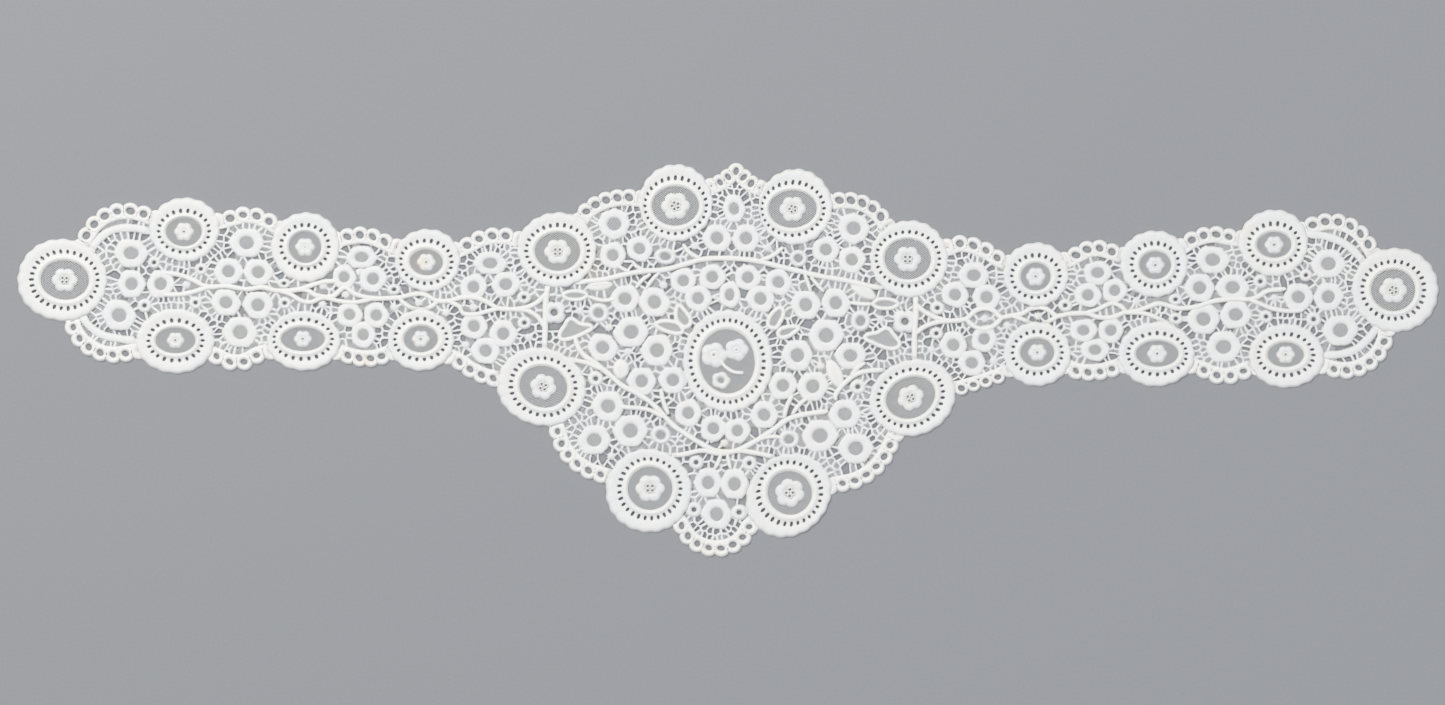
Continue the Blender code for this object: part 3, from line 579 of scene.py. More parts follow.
@dataclass(frozen=True)
class Hatch:
    """Parallel threads; the direction is in degrees down the card from its width."""

    direction: float
    pitch: float
    radius: float

    SWAY = 0.12

    def across(self, oval: Oval, level: float, skein: Skein, height: float = 0.0,
               inside: Field | None = None) -> None:
        """Lay the threads across an oval.

        Args:
            oval: the oval that they fill.
            level: their height in metres.
            skein: the skein that takes them.
            height: height of the threads where they are pressed flat, or 0.
            inside: what they fill in place of the oval, inside its reach.
        """
        cos, sin = turned(self.direction)
        reach = max(oval.rx, oval.ry)
        count = int(reach / self.pitch)
        along = np.arange(-reach - 1, reach + 1, 0.5)
        for number in range(-count, count + 1):
            off = (number + 0.31) * self.pitch
            x, y = oval.x + along * cos - off * sin, oval.y + along * sin + off * cos
            for first, last in runs(inside(x, y) if inside else oval.share(x, y) < 1):
                if last - first > 2:
                    bend = np.linspace(along[first], along[last], 4)
                    sway = off + self.SWAY * np.sin(bend * 0.9 + number)
                    skein.lay(oval.x + bend * cos - sway * sin, oval.y + bend * sin + sway * cos,
                              level, self.radius, height)


@dataclass(frozen=True)
class Net:
    """Slanting threads over crossing ones, by the pitch and half width of each."""

    pitch: float
    half: float
    cross_pitch: float
    cross_half: float

    SLANT = 33.0
    CROSS_SLANT = -50.0

    def across(self, oval: Oval, skein: Skein, lean: float = 0.0, inside: Field | None = None) -> None:
        """Lay the net across an oval.

        Args:
            oval: the oval that it fills.
            skein: the skein that takes its threads.
            lean: degrees that the net is turned.
            inside: what it fills in place of the oval, inside its reach.
        """
        over = Hatch(self.SLANT + lean, self.pitch, self.half)
        over.across(oval, NET_LEVEL + NET_STEP, skein, NET_HEIGHT, inside)
        under = Hatch(self.CROSS_SLANT + lean, self.cross_pitch, self.cross_half)
        under.across(oval, NET_LEVEL, skein, NET_HEIGHT, inside)


FLORET_NET = Net(1.25, 0.40, 2.5, 0.26)
RING_NET = Net(1.45, 0.36, 2.5, 0.26)
LEAF_NET = Net(1.25, 0.42, 2.3, 0.28)


class Cloth:
    """The forms that make one piece, joined into one mesh."""

    def __init__(self, name: str, finishes: Sequence[bpy.types.Material]) -> None:
        """Start a piece.

        Args:
            name: its name.
            finishes: the finish of each part.
        """
        self.name = name
        self.finishes = finishes
        self.forms: list[Form] = []
        self.slots: list[Array] = []

    def add(self, form: Form | None, part: Part) -> None:
        """Add a form, where there is one, as one part."""
        if form is not None:
            self.add_parts(form, np.full(len(form.counts), part.value))

    def add_parts(self, form: Form, slots: Array) -> None:
        """Add a form whose faces have slots of their own."""
        self.forms.append(form)
        self.slots.append(slots)

    def piece(self) -> bpy.types.Object:
        """Join the forms.

        Returns:
            The piece as an object, at the origin.
        """
        sizes = np.array([len(form.places) for form in self.forms])
        starts = np.cumsum(sizes) - sizes
        joined = Form(np.concatenate([form.places for form in self.forms]),
                      np.concatenate([form.corners + start for form, start in zip(self.forms, starts)]),
                      np.concatenate([form.counts for form in self.forms]),
                      np.concatenate([form.threads for form in self.forms]))
        mesh = joined.mesh(self.name)
        for finish in self.finishes:
            mesh.materials.append(finish)
        mesh.polygons.foreach_set("material_index", np.concatenate(self.slots).astype(np.int32))
        made = bpy.data.objects.new(self.name, mesh)
        bpy.context.collection.objects.link(made)
        log.info("%s: %d triangles", self.name, (joined.counts - 2).sum())
        return made


@dataclass(frozen=True)
class Profile:
    """How high cloth stands at each share of its width."""

    shares: tuple[float, ...]
    heights: tuple[float, ...]

    def height(self, share: Array) -> Array:
        """The height at each share, in metres."""
        return np.interp(share, self.shares, self.heights)


PETAL_PROFILE = Profile((0.40, 0.44, 0.49, 0.56, 0.64, 0.73, 0.81, 0.89, 0.95, 0.985, 1.0),
                        (0.0009, 0.00118, 0.00138, 0.00148, 0.0015, 0.0015, 0.00146, 0.00136, 0.00112,
                         0.0007, FOOT))
KNOT_PROFILE = Profile((0.26, 0.32, 0.41, 0.52, 0.65, 0.78, 0.90, 0.97, 1.0),
                       (0.0006, 0.0011, 0.0015, 0.0017, 0.00168, 0.00145, 0.00105, 0.0006, FOOT))
NETTED_PROFILE = Profile((0.44, 0.50, 0.58, 0.68, 0.78, 0.88, 0.96, 1.0),
                         (0.0008, 0.0012, 0.0016, 0.00175, 0.0017, 0.0013, 0.0007, FOOT))
PADDED_PROFILE = Profile((0.06, 0.25, 0.45, 0.62, 0.78, 0.90, 0.97, 1.0),
                         (0.0017, 0.00168, 0.0016, 0.00148, 0.00128, 0.00095, 0.00055, FOOT))
LOOP_PROFILE = Profile((0.0, 0.08, 0.2, 0.36, 0.52, 0.68, 0.83, 0.94, 1.0),
                       (0.0004, 0.00085, 0.0012, 0.0014, 0.00145, 0.00135, 0.00105, 0.0006, FOOT))
MEDALLION_PROFILE = Profile(
    (0.0, 0.05, 0.11, 0.17, 0.23, 0.29, 0.34, 0.45, 0.565, 0.62, 0.68, 0.76, 0.84, 0.91, 0.96, 1.0),
    (0.0009, 0.0014, 0.0018, 0.00195, 0.0018, 0.00145, 0.0012, 0.00115, 0.0012, 0.00135, 0.0015, 0.0016,
     0.00158, 0.00138, 0.001, FOOT))
EYELET_RING = 7
EYELET_SHARE = 0.45
CORD_EDGE = 0.31


@dataclass(frozen=True)
class Motif:
    """A motif with a middle and two half sizes."""

    x: float
    y: float
    rx: float
    ry: float

    def oval(self) -> Oval:
        """The motif's outline."""
        return Oval(self.x, self.y, self.rx, self.ry)

    def away(self, x: Array, y: Array) -> Array:
        """About how far places lie outside the motif, in squares."""
        return self.oval().away(x, y)


@dataclass(frozen=True)
class Floret(Motif):
    """A floret: petals of cloth round a net middle."""

    petals: int = 6

    FULLNESS = 1.04
    FRILL = 0.045
    GROOVE = 0.0002
    GROOVE_HALF = 0.2
    NET_SHARE = 0.46

    def oval(self) -> Oval:
        """The floret's outline without its notches, a little fuller than on the card."""
        return super().oval().grown(self.FULLNESS)

    def away(self, x: Array, y: Array) -> Array:
        """About how far places lie outside the petals, in squares, and less than 0 inside."""
        oval, angle = self.oval(), np.arctan2((y - self.y) / self.ry, (x - self.x) / self.rx)
        return (oval.share(x, y) - petal_reach(angle, self.petals, 1.0)) * (oval.rx + oval.ry) / 2

    def cloth(self) -> Form:
        """Work the petals.

        Returns:
            Their form, with a groove between two petals and a frilled edge.
        """
        flat = ringed(PETAL_PROFILE.shares, 8 * self.petals)
        share, angle = polar(flat)
        weight = ease(0.4, 1.0, share)
        frill = petal_reach(angle, 2 * self.petals, ease(0.75, 1.0, share), self.FRILL)
        reach = share * petal_reach(angle, self.petals, weight) * frill
        stray = 0.025 * np.sin(2 * angle + self.x) + 0.02 * np.sin(3 * angle + self.y)
        ragged = 0.014 * np.sin(13 * angle + self.y) + 0.012 * np.sin(19 * angle + self.x)
        reach = reach * (1 + weight * (stray + ragged))
        between = np.exp(-(np.cos(self.petals * angle / 2) / self.GROOVE_HALF) ** 2)
        z = PETAL_PROFILE.height(share)
        z = z - self.GROOVE * between * ease(0.5, 0.8, share) * ease(1.0, 0.92, share)
        return raised(flat, self.oval().at(reach, angle), z, self.rx)

    def net(self, skein: Skein) -> None:
        """Lay the net in the middle in a skein, a little turned from one floret to the next."""
        FLORET_NET.across(self.oval().grown(self.NET_SHARE), skein, 6 * math.sin(self.x * 1.7 + self.y))


def petal_reach(angle: Array, petals: int, weight: Array | float, notch: float = 0.085) -> Array:
    """How far petals reach at each angle.

    Args:
        angle: angle in radians, 0 at the tip of a petal.
        petals: how many there are.
        weight: how much of the notch shows, from 0 to 1.
        notch: depth of the notch between two petals, as a share.

    Returns:
        The share of the outline's size.
    """
    return 1 - notch * weight * (1 - np.abs(np.cos(petals * angle / 2)) ** 0.7)


@dataclass(frozen=True)
class Ring(Motif):
    """A small ring; the larger ones have a net middle, and the largest have four lobes."""

    NETTED_FROM = 9.0
    LOBED_FROM = 12.2
    LOBES = 4
    NOTCH = 0.2
    NET_SHARE = 0.5

    def netted(self) -> bool:
        """Whether the ring has a net middle."""
        return self.NETTED_FROM <= self.rx < self.LOBED_FROM

    def oval(self) -> Oval:
        """The ring's outline, a little fuller than on the card where it has no net."""
        return super().oval().grown(0.97 if self.netted() else 1.06)

    def cloth(self) -> Form:
        """Work the ring.

        Returns:
            Its form.
        """
        profile = NETTED_PROFILE if self.netted() else KNOT_PROFILE
        flat = ringed(profile.shares, 28)
        share, angle = polar(flat)
        reach = share
        if self.rx >= self.LOBED_FROM:
            reach = share * petal_reach(angle + math.pi / 4, self.LOBES, ease(0.3, 1, share), self.NOTCH)
        return raised(flat, self.oval().at(reach, angle), profile.height(share), self.rx)

    def net(self, skein: Skein) -> None:
        """Lay the net in the middle of a larger ring in a skein."""
        if self.netted():
            RING_NET.across(self.oval().grown(self.NET_SHARE), skein)


@dataclass(frozen=True)
class Leaf(Motif):
    """A leaf of padded cloth, pointed at both ends."""

    turn: float

    POINTED = 1.2
    FULLNESS = 1.12
    CREASE = 0.0002
    CREASE_HALF = 0.13
    COVERED = 0.6

    def oval(self) -> Oval:
        """The leaf's outline without its points."""
        return Oval(self.x, self.y, self.rx, self.ry * self.FULLNESS, self.turn)

    def away(self, x: Array, y: Array) -> Array:
        """About how far places lie outside the leaf, in squares; threads may reach a little under it."""
        return self.oval().away(x, y) + self.COVERED

    def cloth(self) -> Form:
        """Work the leaf.

        Returns:
            Its form, with a crease along its middle.
        """
        flat = ringed(PADDED_PROFILE.shares, 32, True)
        share, angle = polar(flat)
        along, across = np.cos(angle), np.sign(np.sin(angle)) * np.abs(np.sin(angle)) ** self.POINTED
        place = self.oval().at(share * np.hypot(along, across), np.arctan2(across, along))
        crease = np.exp(-(share * np.sin(angle) / self.CREASE_HALF) ** 2) * ease(1, 0.7, share)
        z = PADDED_PROFILE.height(share) - self.CREASE * crease
        return raised(flat, place, z, self.rx)


@dataclass(frozen=True)
class Stem:
    """A stem or band along a line of places; half is half of its width."""

    half: float
    places: tuple[Spot, ...]
    crown: float = STEM_CROWN
    part: Part = Part.CORD

    SLIMMER = 0.95
    END_WIDTH = 0.78
    END_LENGTH = 9
    END_HEIGHT = 0.3

    def middle(self) -> float:
        """The middle of the stem's places across the card."""
        return sum(x for x, _ in self.places) / len(self.places)

    def away(self, x: Array, y: Array) -> Array:
        """How far places lie outside the stem.

        Args:
            x: places across the card.
            y: places down the card.

        Returns:
            The distances in squares, less than 0 inside.
        """
        nearest = np.full(np.shape(x), np.inf)
        for (x1, y1), (x2, y2) in zip(self.places, self.places[1:]):
            run, drop = x2 - x1, y2 - y1
            along = np.clip(((x - x1) * run + (y - y1) * drop) / (run * run + drop * drop), 0, 1)
            nearest = np.minimum(nearest, np.hypot(x - x1 - along * run, y - y1 - along * drop))
        return nearest - self.half

    def lay(self, skein: Skein) -> None:
        """Lay the stem, narrower at its two rounded ends.

        Args:
            skein: the skein that takes it.
        """
        x, y = smooth_line(self.places, CORD_PITCH)
        left = np.arange(len(x))
        left = CORD_PITCH * np.minimum(left, left[::-1])
        taper = blend(self.END_WIDTH, 1, ease(0, self.END_LENGTH, left))
        rounded = np.sqrt(np.clip(1 - (1 - np.minimum((left + 0.15) / self.half, 1)) ** 2, 0.02, 1))
        sway = 1 + 0.05 * np.sin(left * 1.5) + 0.05 * np.sin(left * 0.29)
        height = self.crown - FOOT
        wide = self.half * taper * sway * rounded * self.SLIMMER
        skein.lay(x, y, FOOT + height / 2, wide, height * blend(self.END_HEIGHT, 1, rounded))


@dataclass(frozen=True)
class NettedLeaf:
    """A leaf of net inside a raised cord; its places are those of the cord."""

    half: float
    places: tuple[Spot, ...]

    ROUNDINGS = 4
    REACH = 24

    def inside(self, x: Array, y: Array) -> Array:
        """Find which places lie inside the cord.

        Args:
            x: places across the card.
            y: places down the card.

        Returns:
            True for each place that does.
        """
        inside = np.zeros(np.shape(x), bool)
        for (x1, y1), (x2, y2) in zip(self.places, (*self.places[1:], self.places[0])):
            if y1 != y2:
                inside ^= ((y1 <= y) != (y2 <= y)) & (x < blend(x1, x2, (y - y1) / (y2 - y1)))
        return inside

    def away(self, x: Array, y: Array) -> Array:
        """How far places lie outside the cord, in squares."""
        away = Stem(self.half, (*self.places, self.places[0])).away(x, y)
        return np.where(self.inside(x, y), np.minimum(away, -1), away)

    def middle(self) -> Spot:
        """The middle of the leaf's places."""
        across, down = (sum(row) / len(row) for row in zip(*self.places))
        return across, down

    def lay(self, skein: Skein) -> None:
        """Lay the cord, rounded at its sharp ends.

        Args:
            skein: the skein that takes it.
        """
        x, y = smooth_line(self.places, CORD_PITCH, True)
        for _ in range(self.ROUNDINGS):
            x, y = (line / 2 + (np.roll(line, 1) + np.roll(line, -1)) / 4 for line in (x, y))
        height = LEAF_CROWN - FOOT
        sway = 1 + 0.06 * np.sin(np.arange(len(x)) * 1.9)
        skein.lay(x, y, FOOT + height / 2, self.half * sway, height, True)

    def net(self, skein: Skein) -> None:
        """Lay the net inside the cord in a skein."""
        LEAF_NET.across(Oval(*self.middle(), self.REACH, self.REACH), skein, inside=self.inside)


@dataclass(frozen=True)
class Knot:
    """A small fluffy knot of the ground, with short ends of thread round it."""

    x: float
    y: float
    size: float = 3.6

    PROFILE = Profile((0.15, 0.45, 0.75, 0.93, 1.0), (0.0013, 0.00125, 0.0011, 0.0008, 0.0004))
    ENDS = 9

    def away(self, x: Array, y: Array) -> Array:
        """How far places lie outside the knot, in squares."""
        return np.hypot(x - self.x, y - self.y) - self.size

    def cloth(self) -> Form:
        """Work the knot's fluffy knob.

        Returns:
            Its form.
        """
        flat = ringed(self.PROFILE.shares, 20, True)
        share, angle = polar(flat)
        lobes = 1.05 + 0.07 * np.sin(5 * angle + self.x) + 0.05 * np.sin(8 * angle + self.y)
        place = Oval(self.x, self.y, self.size * 1.1, self.size).at(share * lobes, angle)
        return raised(flat, place, self.PROFILE.height(share), self.size)

    def lay(self, skein: Skein) -> None:
        """Lay the knot's ends of thread.

        Args:
            skein: the skein that takes them.
        """
        ways = np.array([0.6, 0.95, 1.3])
        for number in range(self.ENDS):
            angle = 2 * math.pi * number / self.ENDS + self.x
            reach = self.size * ways * (1 + 0.12 * math.sin(5 * number + self.y))
            skein.lay(self.x + reach * math.cos(angle), self.y + reach * math.sin(angle),
                      GROUND_LEVEL + np.array([0.0004, 0.0002, 0]), np.array([0.7, 0.55, 0.3]))


@dataclass(frozen=True)
class Gap:
    """A wide open place of the ground."""

    x: float
    y: float
    radius: float


@dataclass(frozen=True)
class Medallion:
    """A round or oval medallion: scalloped cloth rim, eyelets, raised cord, net and a flower."""

    name: str
    x: float
    y: float
    rx: float
    ry: float
    turn: float
    inner_x: float
    inner_y: float
    eyelet_rx: float
    eyelet_ry: float
    net_rx: float
    net_ry: float
    flower: float
    holes: int = 0

    EYELET_PITCH = 6.5
    SCALLOP_PITCH = 13.5
    SCALLOP = 1.7
    SEAM = 0.0003
    SEAM_HALF = 0.25
    TURN_DOWN = 0.0004
    NET_SLANT = 33
    NET_PITCH = 1.55
    NET_HALF = 0.25
    NET_RISE = 0.00012
    PETALS = 6
    HOLE_SPREAD = 0.225
    HOLE_RIM = 0.21

    def edge(self) -> Oval:
        """The medallion's outline."""
        return Oval(self.x, self.y, self.rx, self.ry, self.turn)

    def inner(self, rx: float, ry: float) -> Oval:
        """An oval about the medallion's inner middle."""
        return Oval(self.inner_x, self.inner_y, rx, ry, self.turn)

    def away(self, x: Array, y: Array) -> Array:
        """About how far places lie outside the medallion, in squares."""
        return self.edge().away(x, y)

    def cloth(self) -> tuple[Form, Array]:
        """Work the rim and the cord ring.

        Returns:
            Their form, and the slot of each of its faces.
        """
        eyelets = round(math.pi * (self.eyelet_rx + self.eyelet_ry) / self.EYELET_PITCH)
        rings = tuple(1 + share for share in MEDALLION_PROFILE.shares)
        flat = pierced(rings, EYELET_RING, eyelets)
        reach, angle = polar(flat)
        share, down = reach - 1, flat.places[:, 2]
        net = self.inner(self.net_rx, self.net_ry).at(1, angle)
        holes = self.inner(self.eyelet_rx, self.eyelet_ry).at(1, angle)
        scallops = round(math.pi * (self.rx + self.ry) / self.SCALLOP_PITCH)
        bite = self.SCALLOP / self.rx * (1 - np.abs(np.cos(scallops * angle / 2 + self.x)) ** 0.8)
        edge = self.edge().at(1 - bite * ease(0.7, 1, share), angle)
        inward, outward = share / EYELET_SHARE, (share - EYELET_SHARE) / (1 - EYELET_SHARE)
        x, y = (np.where(share < EYELET_SHARE, blend(a, b, inward), blend(b, c, outward))
                for a, b, c in zip(net, holes, edge))
        z = MEDALLION_PROFILE.height(share)
        seam = np.exp(-(np.cos(scallops * angle / 2 + self.x) / self.SEAM_HALF) ** 2)
        z = z - self.SEAM * seam * ease(0.62, 0.85, share) * ease(1, 0.93, share)
        z = z - self.TURN_DOWN * down
        form = raised(flat, (x, y), z, self.rx)
        form.threads[:, 1] = share[flat.corners] * (self.rx - self.net_rx) * CARD_STEP
        middle = np.bincount(flat.faces(), weights=share[flat.corners]) / flat.counts
        return form, np.where(middle < CORD_EDGE, Part.CORD.value, Part.CLOTH.value)

    def net(self, skein: Skein) -> None:
        """Lay the net inside the cord ring.

        Args:
            skein: the skein that takes it.
        """
        middle = self.inner(self.net_rx + 1, self.net_ry + 1)
        for slant, rise in ((self.NET_SLANT, 0), (-self.NET_SLANT, self.NET_RISE)):
            hatch = Hatch(self.turn + slant, self.NET_PITCH, self.NET_HALF)
            hatch.across(middle, NET_LEVEL + rise, skein, NET_HEIGHT)

    def flower_forms(self) -> list[tuple[Form, Part]]:
        """Work the flower in the middle, with its small holes.

        Returns:
            Its forms, each with its part.
        """
        size = self.flower
        outline = self.inner(size, size * 0.96)
        if self.holes > 1:
            forms = [(rosette(outline, self.PETALS, 0.3), Part.CLOTH)]
            for number in range(self.holes):
                x, y = outline.at(self.HOLE_SPREAD, np.array(2 * math.pi * (number + 0.5) / self.holes))
                rim = Oval(float(x), float(y), size * self.HOLE_RIM, size * 0.2)
                forms.append((washer(rim, 0.36), Part.CLOTH))
            return forms
        return [(rosette(outline, self.PETALS, 0.10 if self.holes else 0.03), Part.CLOTH),
                (washer(outline.grown(0.32), 0.3 if self.holes else 0.12), Part.CORD)]


# Shares and heights across a small rosette's petals and a buttonhole ring, from the inside out, and the
# depth and half width of the groove between two petals
ROSETTE = Profile((0, 0.12, 0.28, 0.45, 0.62, 0.78, 0.9, 0.97, 1),
                  (0.0009, 0.0013, 0.9 * FLOWER_CROWN, FLOWER_CROWN, 0.98 * FLOWER_CROWN,
                   0.88 * FLOWER_CROWN, 0.0014, 0.0011, NET_LEVEL))
WASHER = Profile((0, 0.2, 0.45, 0.7, 0.88, 1), (0.0011, 0.0015, 0.0019, 0.0018, 0.0015, 0.0011))
ROSETTE_NOTCH = 0.16
ROSETTE_GROOVE = 0.00022
ROSETTE_GROOVE_HALF = 0.22


def rosette(outline: Oval, petals: int, opening: float) -> Form:
    """A small rosette of cloth petals.

    Args:
        outline: its outline.
        petals: how many petals it has.
        opening: share of its size that is open in the middle.

    Returns:
        The form.
    """
    shares = tuple(blend(opening, 1, way) for way in ROSETTE.shares)
    flat = ringed(shares, 8 * petals)
    share, angle = polar(flat)
    place = outline.at(share * petal_reach(angle, petals, ease(0.4, 1, share), ROSETTE_NOTCH), angle)
    between = np.exp(-(np.cos(petals * angle / 2) / ROSETTE_GROOVE_HALF) ** 2)
    groove = ROSETTE_GROOVE * between * ease(0.5, 0.8, share) * ease(1, 0.85, share)
    z = np.interp(share, shares, ROSETTE.heights) - groove
    return raised(flat, place, z, outline.rx)


def washer(outline: Oval, opening: float) -> Form:
    """A small buttonhole ring.

    Args:
        outline: its outline.
        opening: share of its size that is open.

    Returns:
        The form.
    """
    shares = tuple(blend(opening, 1, way) for way in WASHER.shares)
    flat = ringed(shares, 18)
    share, angle = polar(flat)
    z = np.interp(share, shares, WASHER.heights)
    return raised(flat, outline.at(share, angle), z, outline.rx)


@dataclass(frozen=True)
class Edging:
    """A run of looped edging between two medallions, with its loops along an arc or to a peak."""

    name: str
    x1: float
    y1: float
    x2: float
    y2: float
    bulge: float
    loops: int
    half: float = 8.9
    opening: float = 1.0
    peaked: bool = False

    FOOT_AWAY = 6.3
    FOOT_HALF = 2.3
    HOLE_LONG = 3.9
    HOLE_WIDE = 3.0
    HOLE_STRAY = 0.35
    CLOSED_HOLE = 0.6
    LEAN = 25
    PEAKED_LEAN = 90
    RIPPLE = 0.00004
    SEAM = 0.00003

    def middle(self) -> float:
        """The middle of the run across the card."""
        return (self.x1 + self.x2) / 2

    def holes(self) -> list[Spot]:
        """Space the loops along the run.

        Returns:
            Their middles, in order.
        """
        across, down = self.x2 - self.x1, self.y2 - self.y1
        chord = math.hypot(across, down)
        along, out = (across / chord, down / chord), (down / chord, -across / chord)
        middle = (self.middle(), (self.y1 + self.y2) / 2)
        places = []
        for number in range(self.loops):
            share = 2 * number / (self.loops - 1) - 1
            if self.peaked or self.bulge == 0:
                forth, rise = share * chord / 2, self.bulge * (1 - abs(share))
            else:
                radius = (chord ** 2 / 4 + self.bulge ** 2) / (2 * self.bulge)
                angle = share * math.asin(chord / 2 / radius)
                forth, rise = radius * math.sin(angle), radius * math.cos(angle) - radius + self.bulge
            places.append((middle[0] + along[0] * forth + out[0] * rise,
                           middle[1] + along[1] * forth + out[1] * rise))
        return places

    def chain(self, before: Medallion, after: Medallion) -> list[Spot]:
        """The middles of the loops, with one more at each end that its medallion cuts.

        Args:
            before: the medallion that the run starts from.
            after: the medallion that it ends at.

        Returns:
            The middles in order.
        """
        holes = self.holes()
        pitch = math.dist(holes[0], holes[1])
        ends = []
        for hole, row in ((holes[0], before), (holes[-1], after)):
            share = pitch / math.dist(hole, (row.x, row.y))
            ends.append((blend(hole[0], row.x, share), blend(hole[1], row.y, share)))
        return [ends[0], *holes, ends[1]]

    def away(self, x: Array, y: Array) -> Array:
        """How far places lie outside the loops, in squares, and less than 0 inside."""
        away = [np.hypot(x - hole[0], y - hole[1]) for hole in self.holes()]
        return np.min(away, axis=0) - self.half

    def cloth(self, before: Medallion, after: Medallion) -> list[Form]:
        """Work the loops, each cut off half way to its neighbours.

        Args:
            before: the medallion that the run starts from.
            after: the medallion that it ends at.

        Returns:
            The forms of the loops.
        """
        chain = self.chain(before, after)
        forms = []
        for number, middle in enumerate(chain):
            closed = number in (0, len(chain) - 1)
            neighbours = [chain[i] for i in (number - 1, number + 1) if 0 <= i < len(chain)]
            (x1, y1), (x2, y2) = (neighbours[0] if number else middle), neighbours[-1]
            form = self.loop(middle, neighbours, closed, math.degrees(math.atan2(y2 - y1, x2 - x1)))
            form = form.tucked([before.edge(), after.edge()])
            if len(form.counts):
                forms.append(form)
        return forms

    def foot(self, before: Medallion, after: Medallion) -> Form:
        """Work the cord that joins the loops along their inner side.

        Args:
            before: the medallion that the run starts from.
            after: the medallion that it ends at.

        Returns:
            The cord's form.
        """
        chain = np.array(self.chain(before, after))
        way = np.gradient(chain, axis=0)
        way /= np.hypot(*way.T)[:, None]
        chain = chain + self.FOOT_AWAY * np.stack([-way[:, 1], way[:, 0]], axis=1)
        x, y = smooth_line([tuple(spot) for spot in chain], CORD_PITCH)
        skein = Skein(2)
        height = FOOT_CORD_CROWN - FOOT
        skein.lay(x, y, FOOT + height / 2, self.FOOT_HALF, height)
        return skein.form().tucked([before.edge(), after.edge()])

    def loop(self, middle: Spot, neighbours: Sequence[Spot], closed: bool, way: float) -> Form:
        """One loop of the edging.

        Args:
            middle: its middle.
            neighbours: the middles of the loops beside it.
            closed: whether it has no hole.
            way: direction of the run here, in degrees.

        Returns:
            The form.
        """
        flat = ringed(tuple(1 + share for share in LOOP_PROFILE.shares), 28)
        reach, angle = polar(flat)
        share = reach - 1
        long = wide = self.CLOSED_HOLE
        if not closed:
            long = self.opening * (self.HOLE_LONG + self.HOLE_STRAY * math.sin(1.7 * middle[0]))
            wide = self.opening * (self.HOLE_WIDE + self.HOLE_STRAY * math.sin(2.3 * middle[1]))
        lean = self.PEAKED_LEAN if self.peaked else self.LEAN
        hole = Oval(*middle, long, wide, way + lean + 12 * math.sin(middle[0]))
        inner, outer = hole.at(1, angle), Oval(*middle, self.half, self.half, hole.turn).at(1, angle)
        x, y = (blend(a, b, share) for a, b in zip(inner, outer))
        z = LOOP_PROFILE.height(share) + self.RIPPLE * np.sin(9 * angle + middle[0])
        shape = raised(flat, (x, y), z, self.half, 1.0).opened()
        for other in neighbours:
            here, there = (Vector(metres(np.array(p[0]), np.array(p[1]), np.array(0.0)))
                           for p in (middle, other))
            cut = bmesh.ops.bisect_plane(shape, geom=[*shape.verts, *shape.edges, *shape.faces],
                                         dist=1e-6, plane_co=(here + there) / 2,
                                         plane_no=there - here, clear_outer=True)
            edge = [part for part in cut["geom_cut"] if isinstance(part, bmesh.types.BMVert)]
            for vert in edge:
                vert.co.z = max(FOOT, vert.co.z - self.SEAM)
        return closed_up(shape)


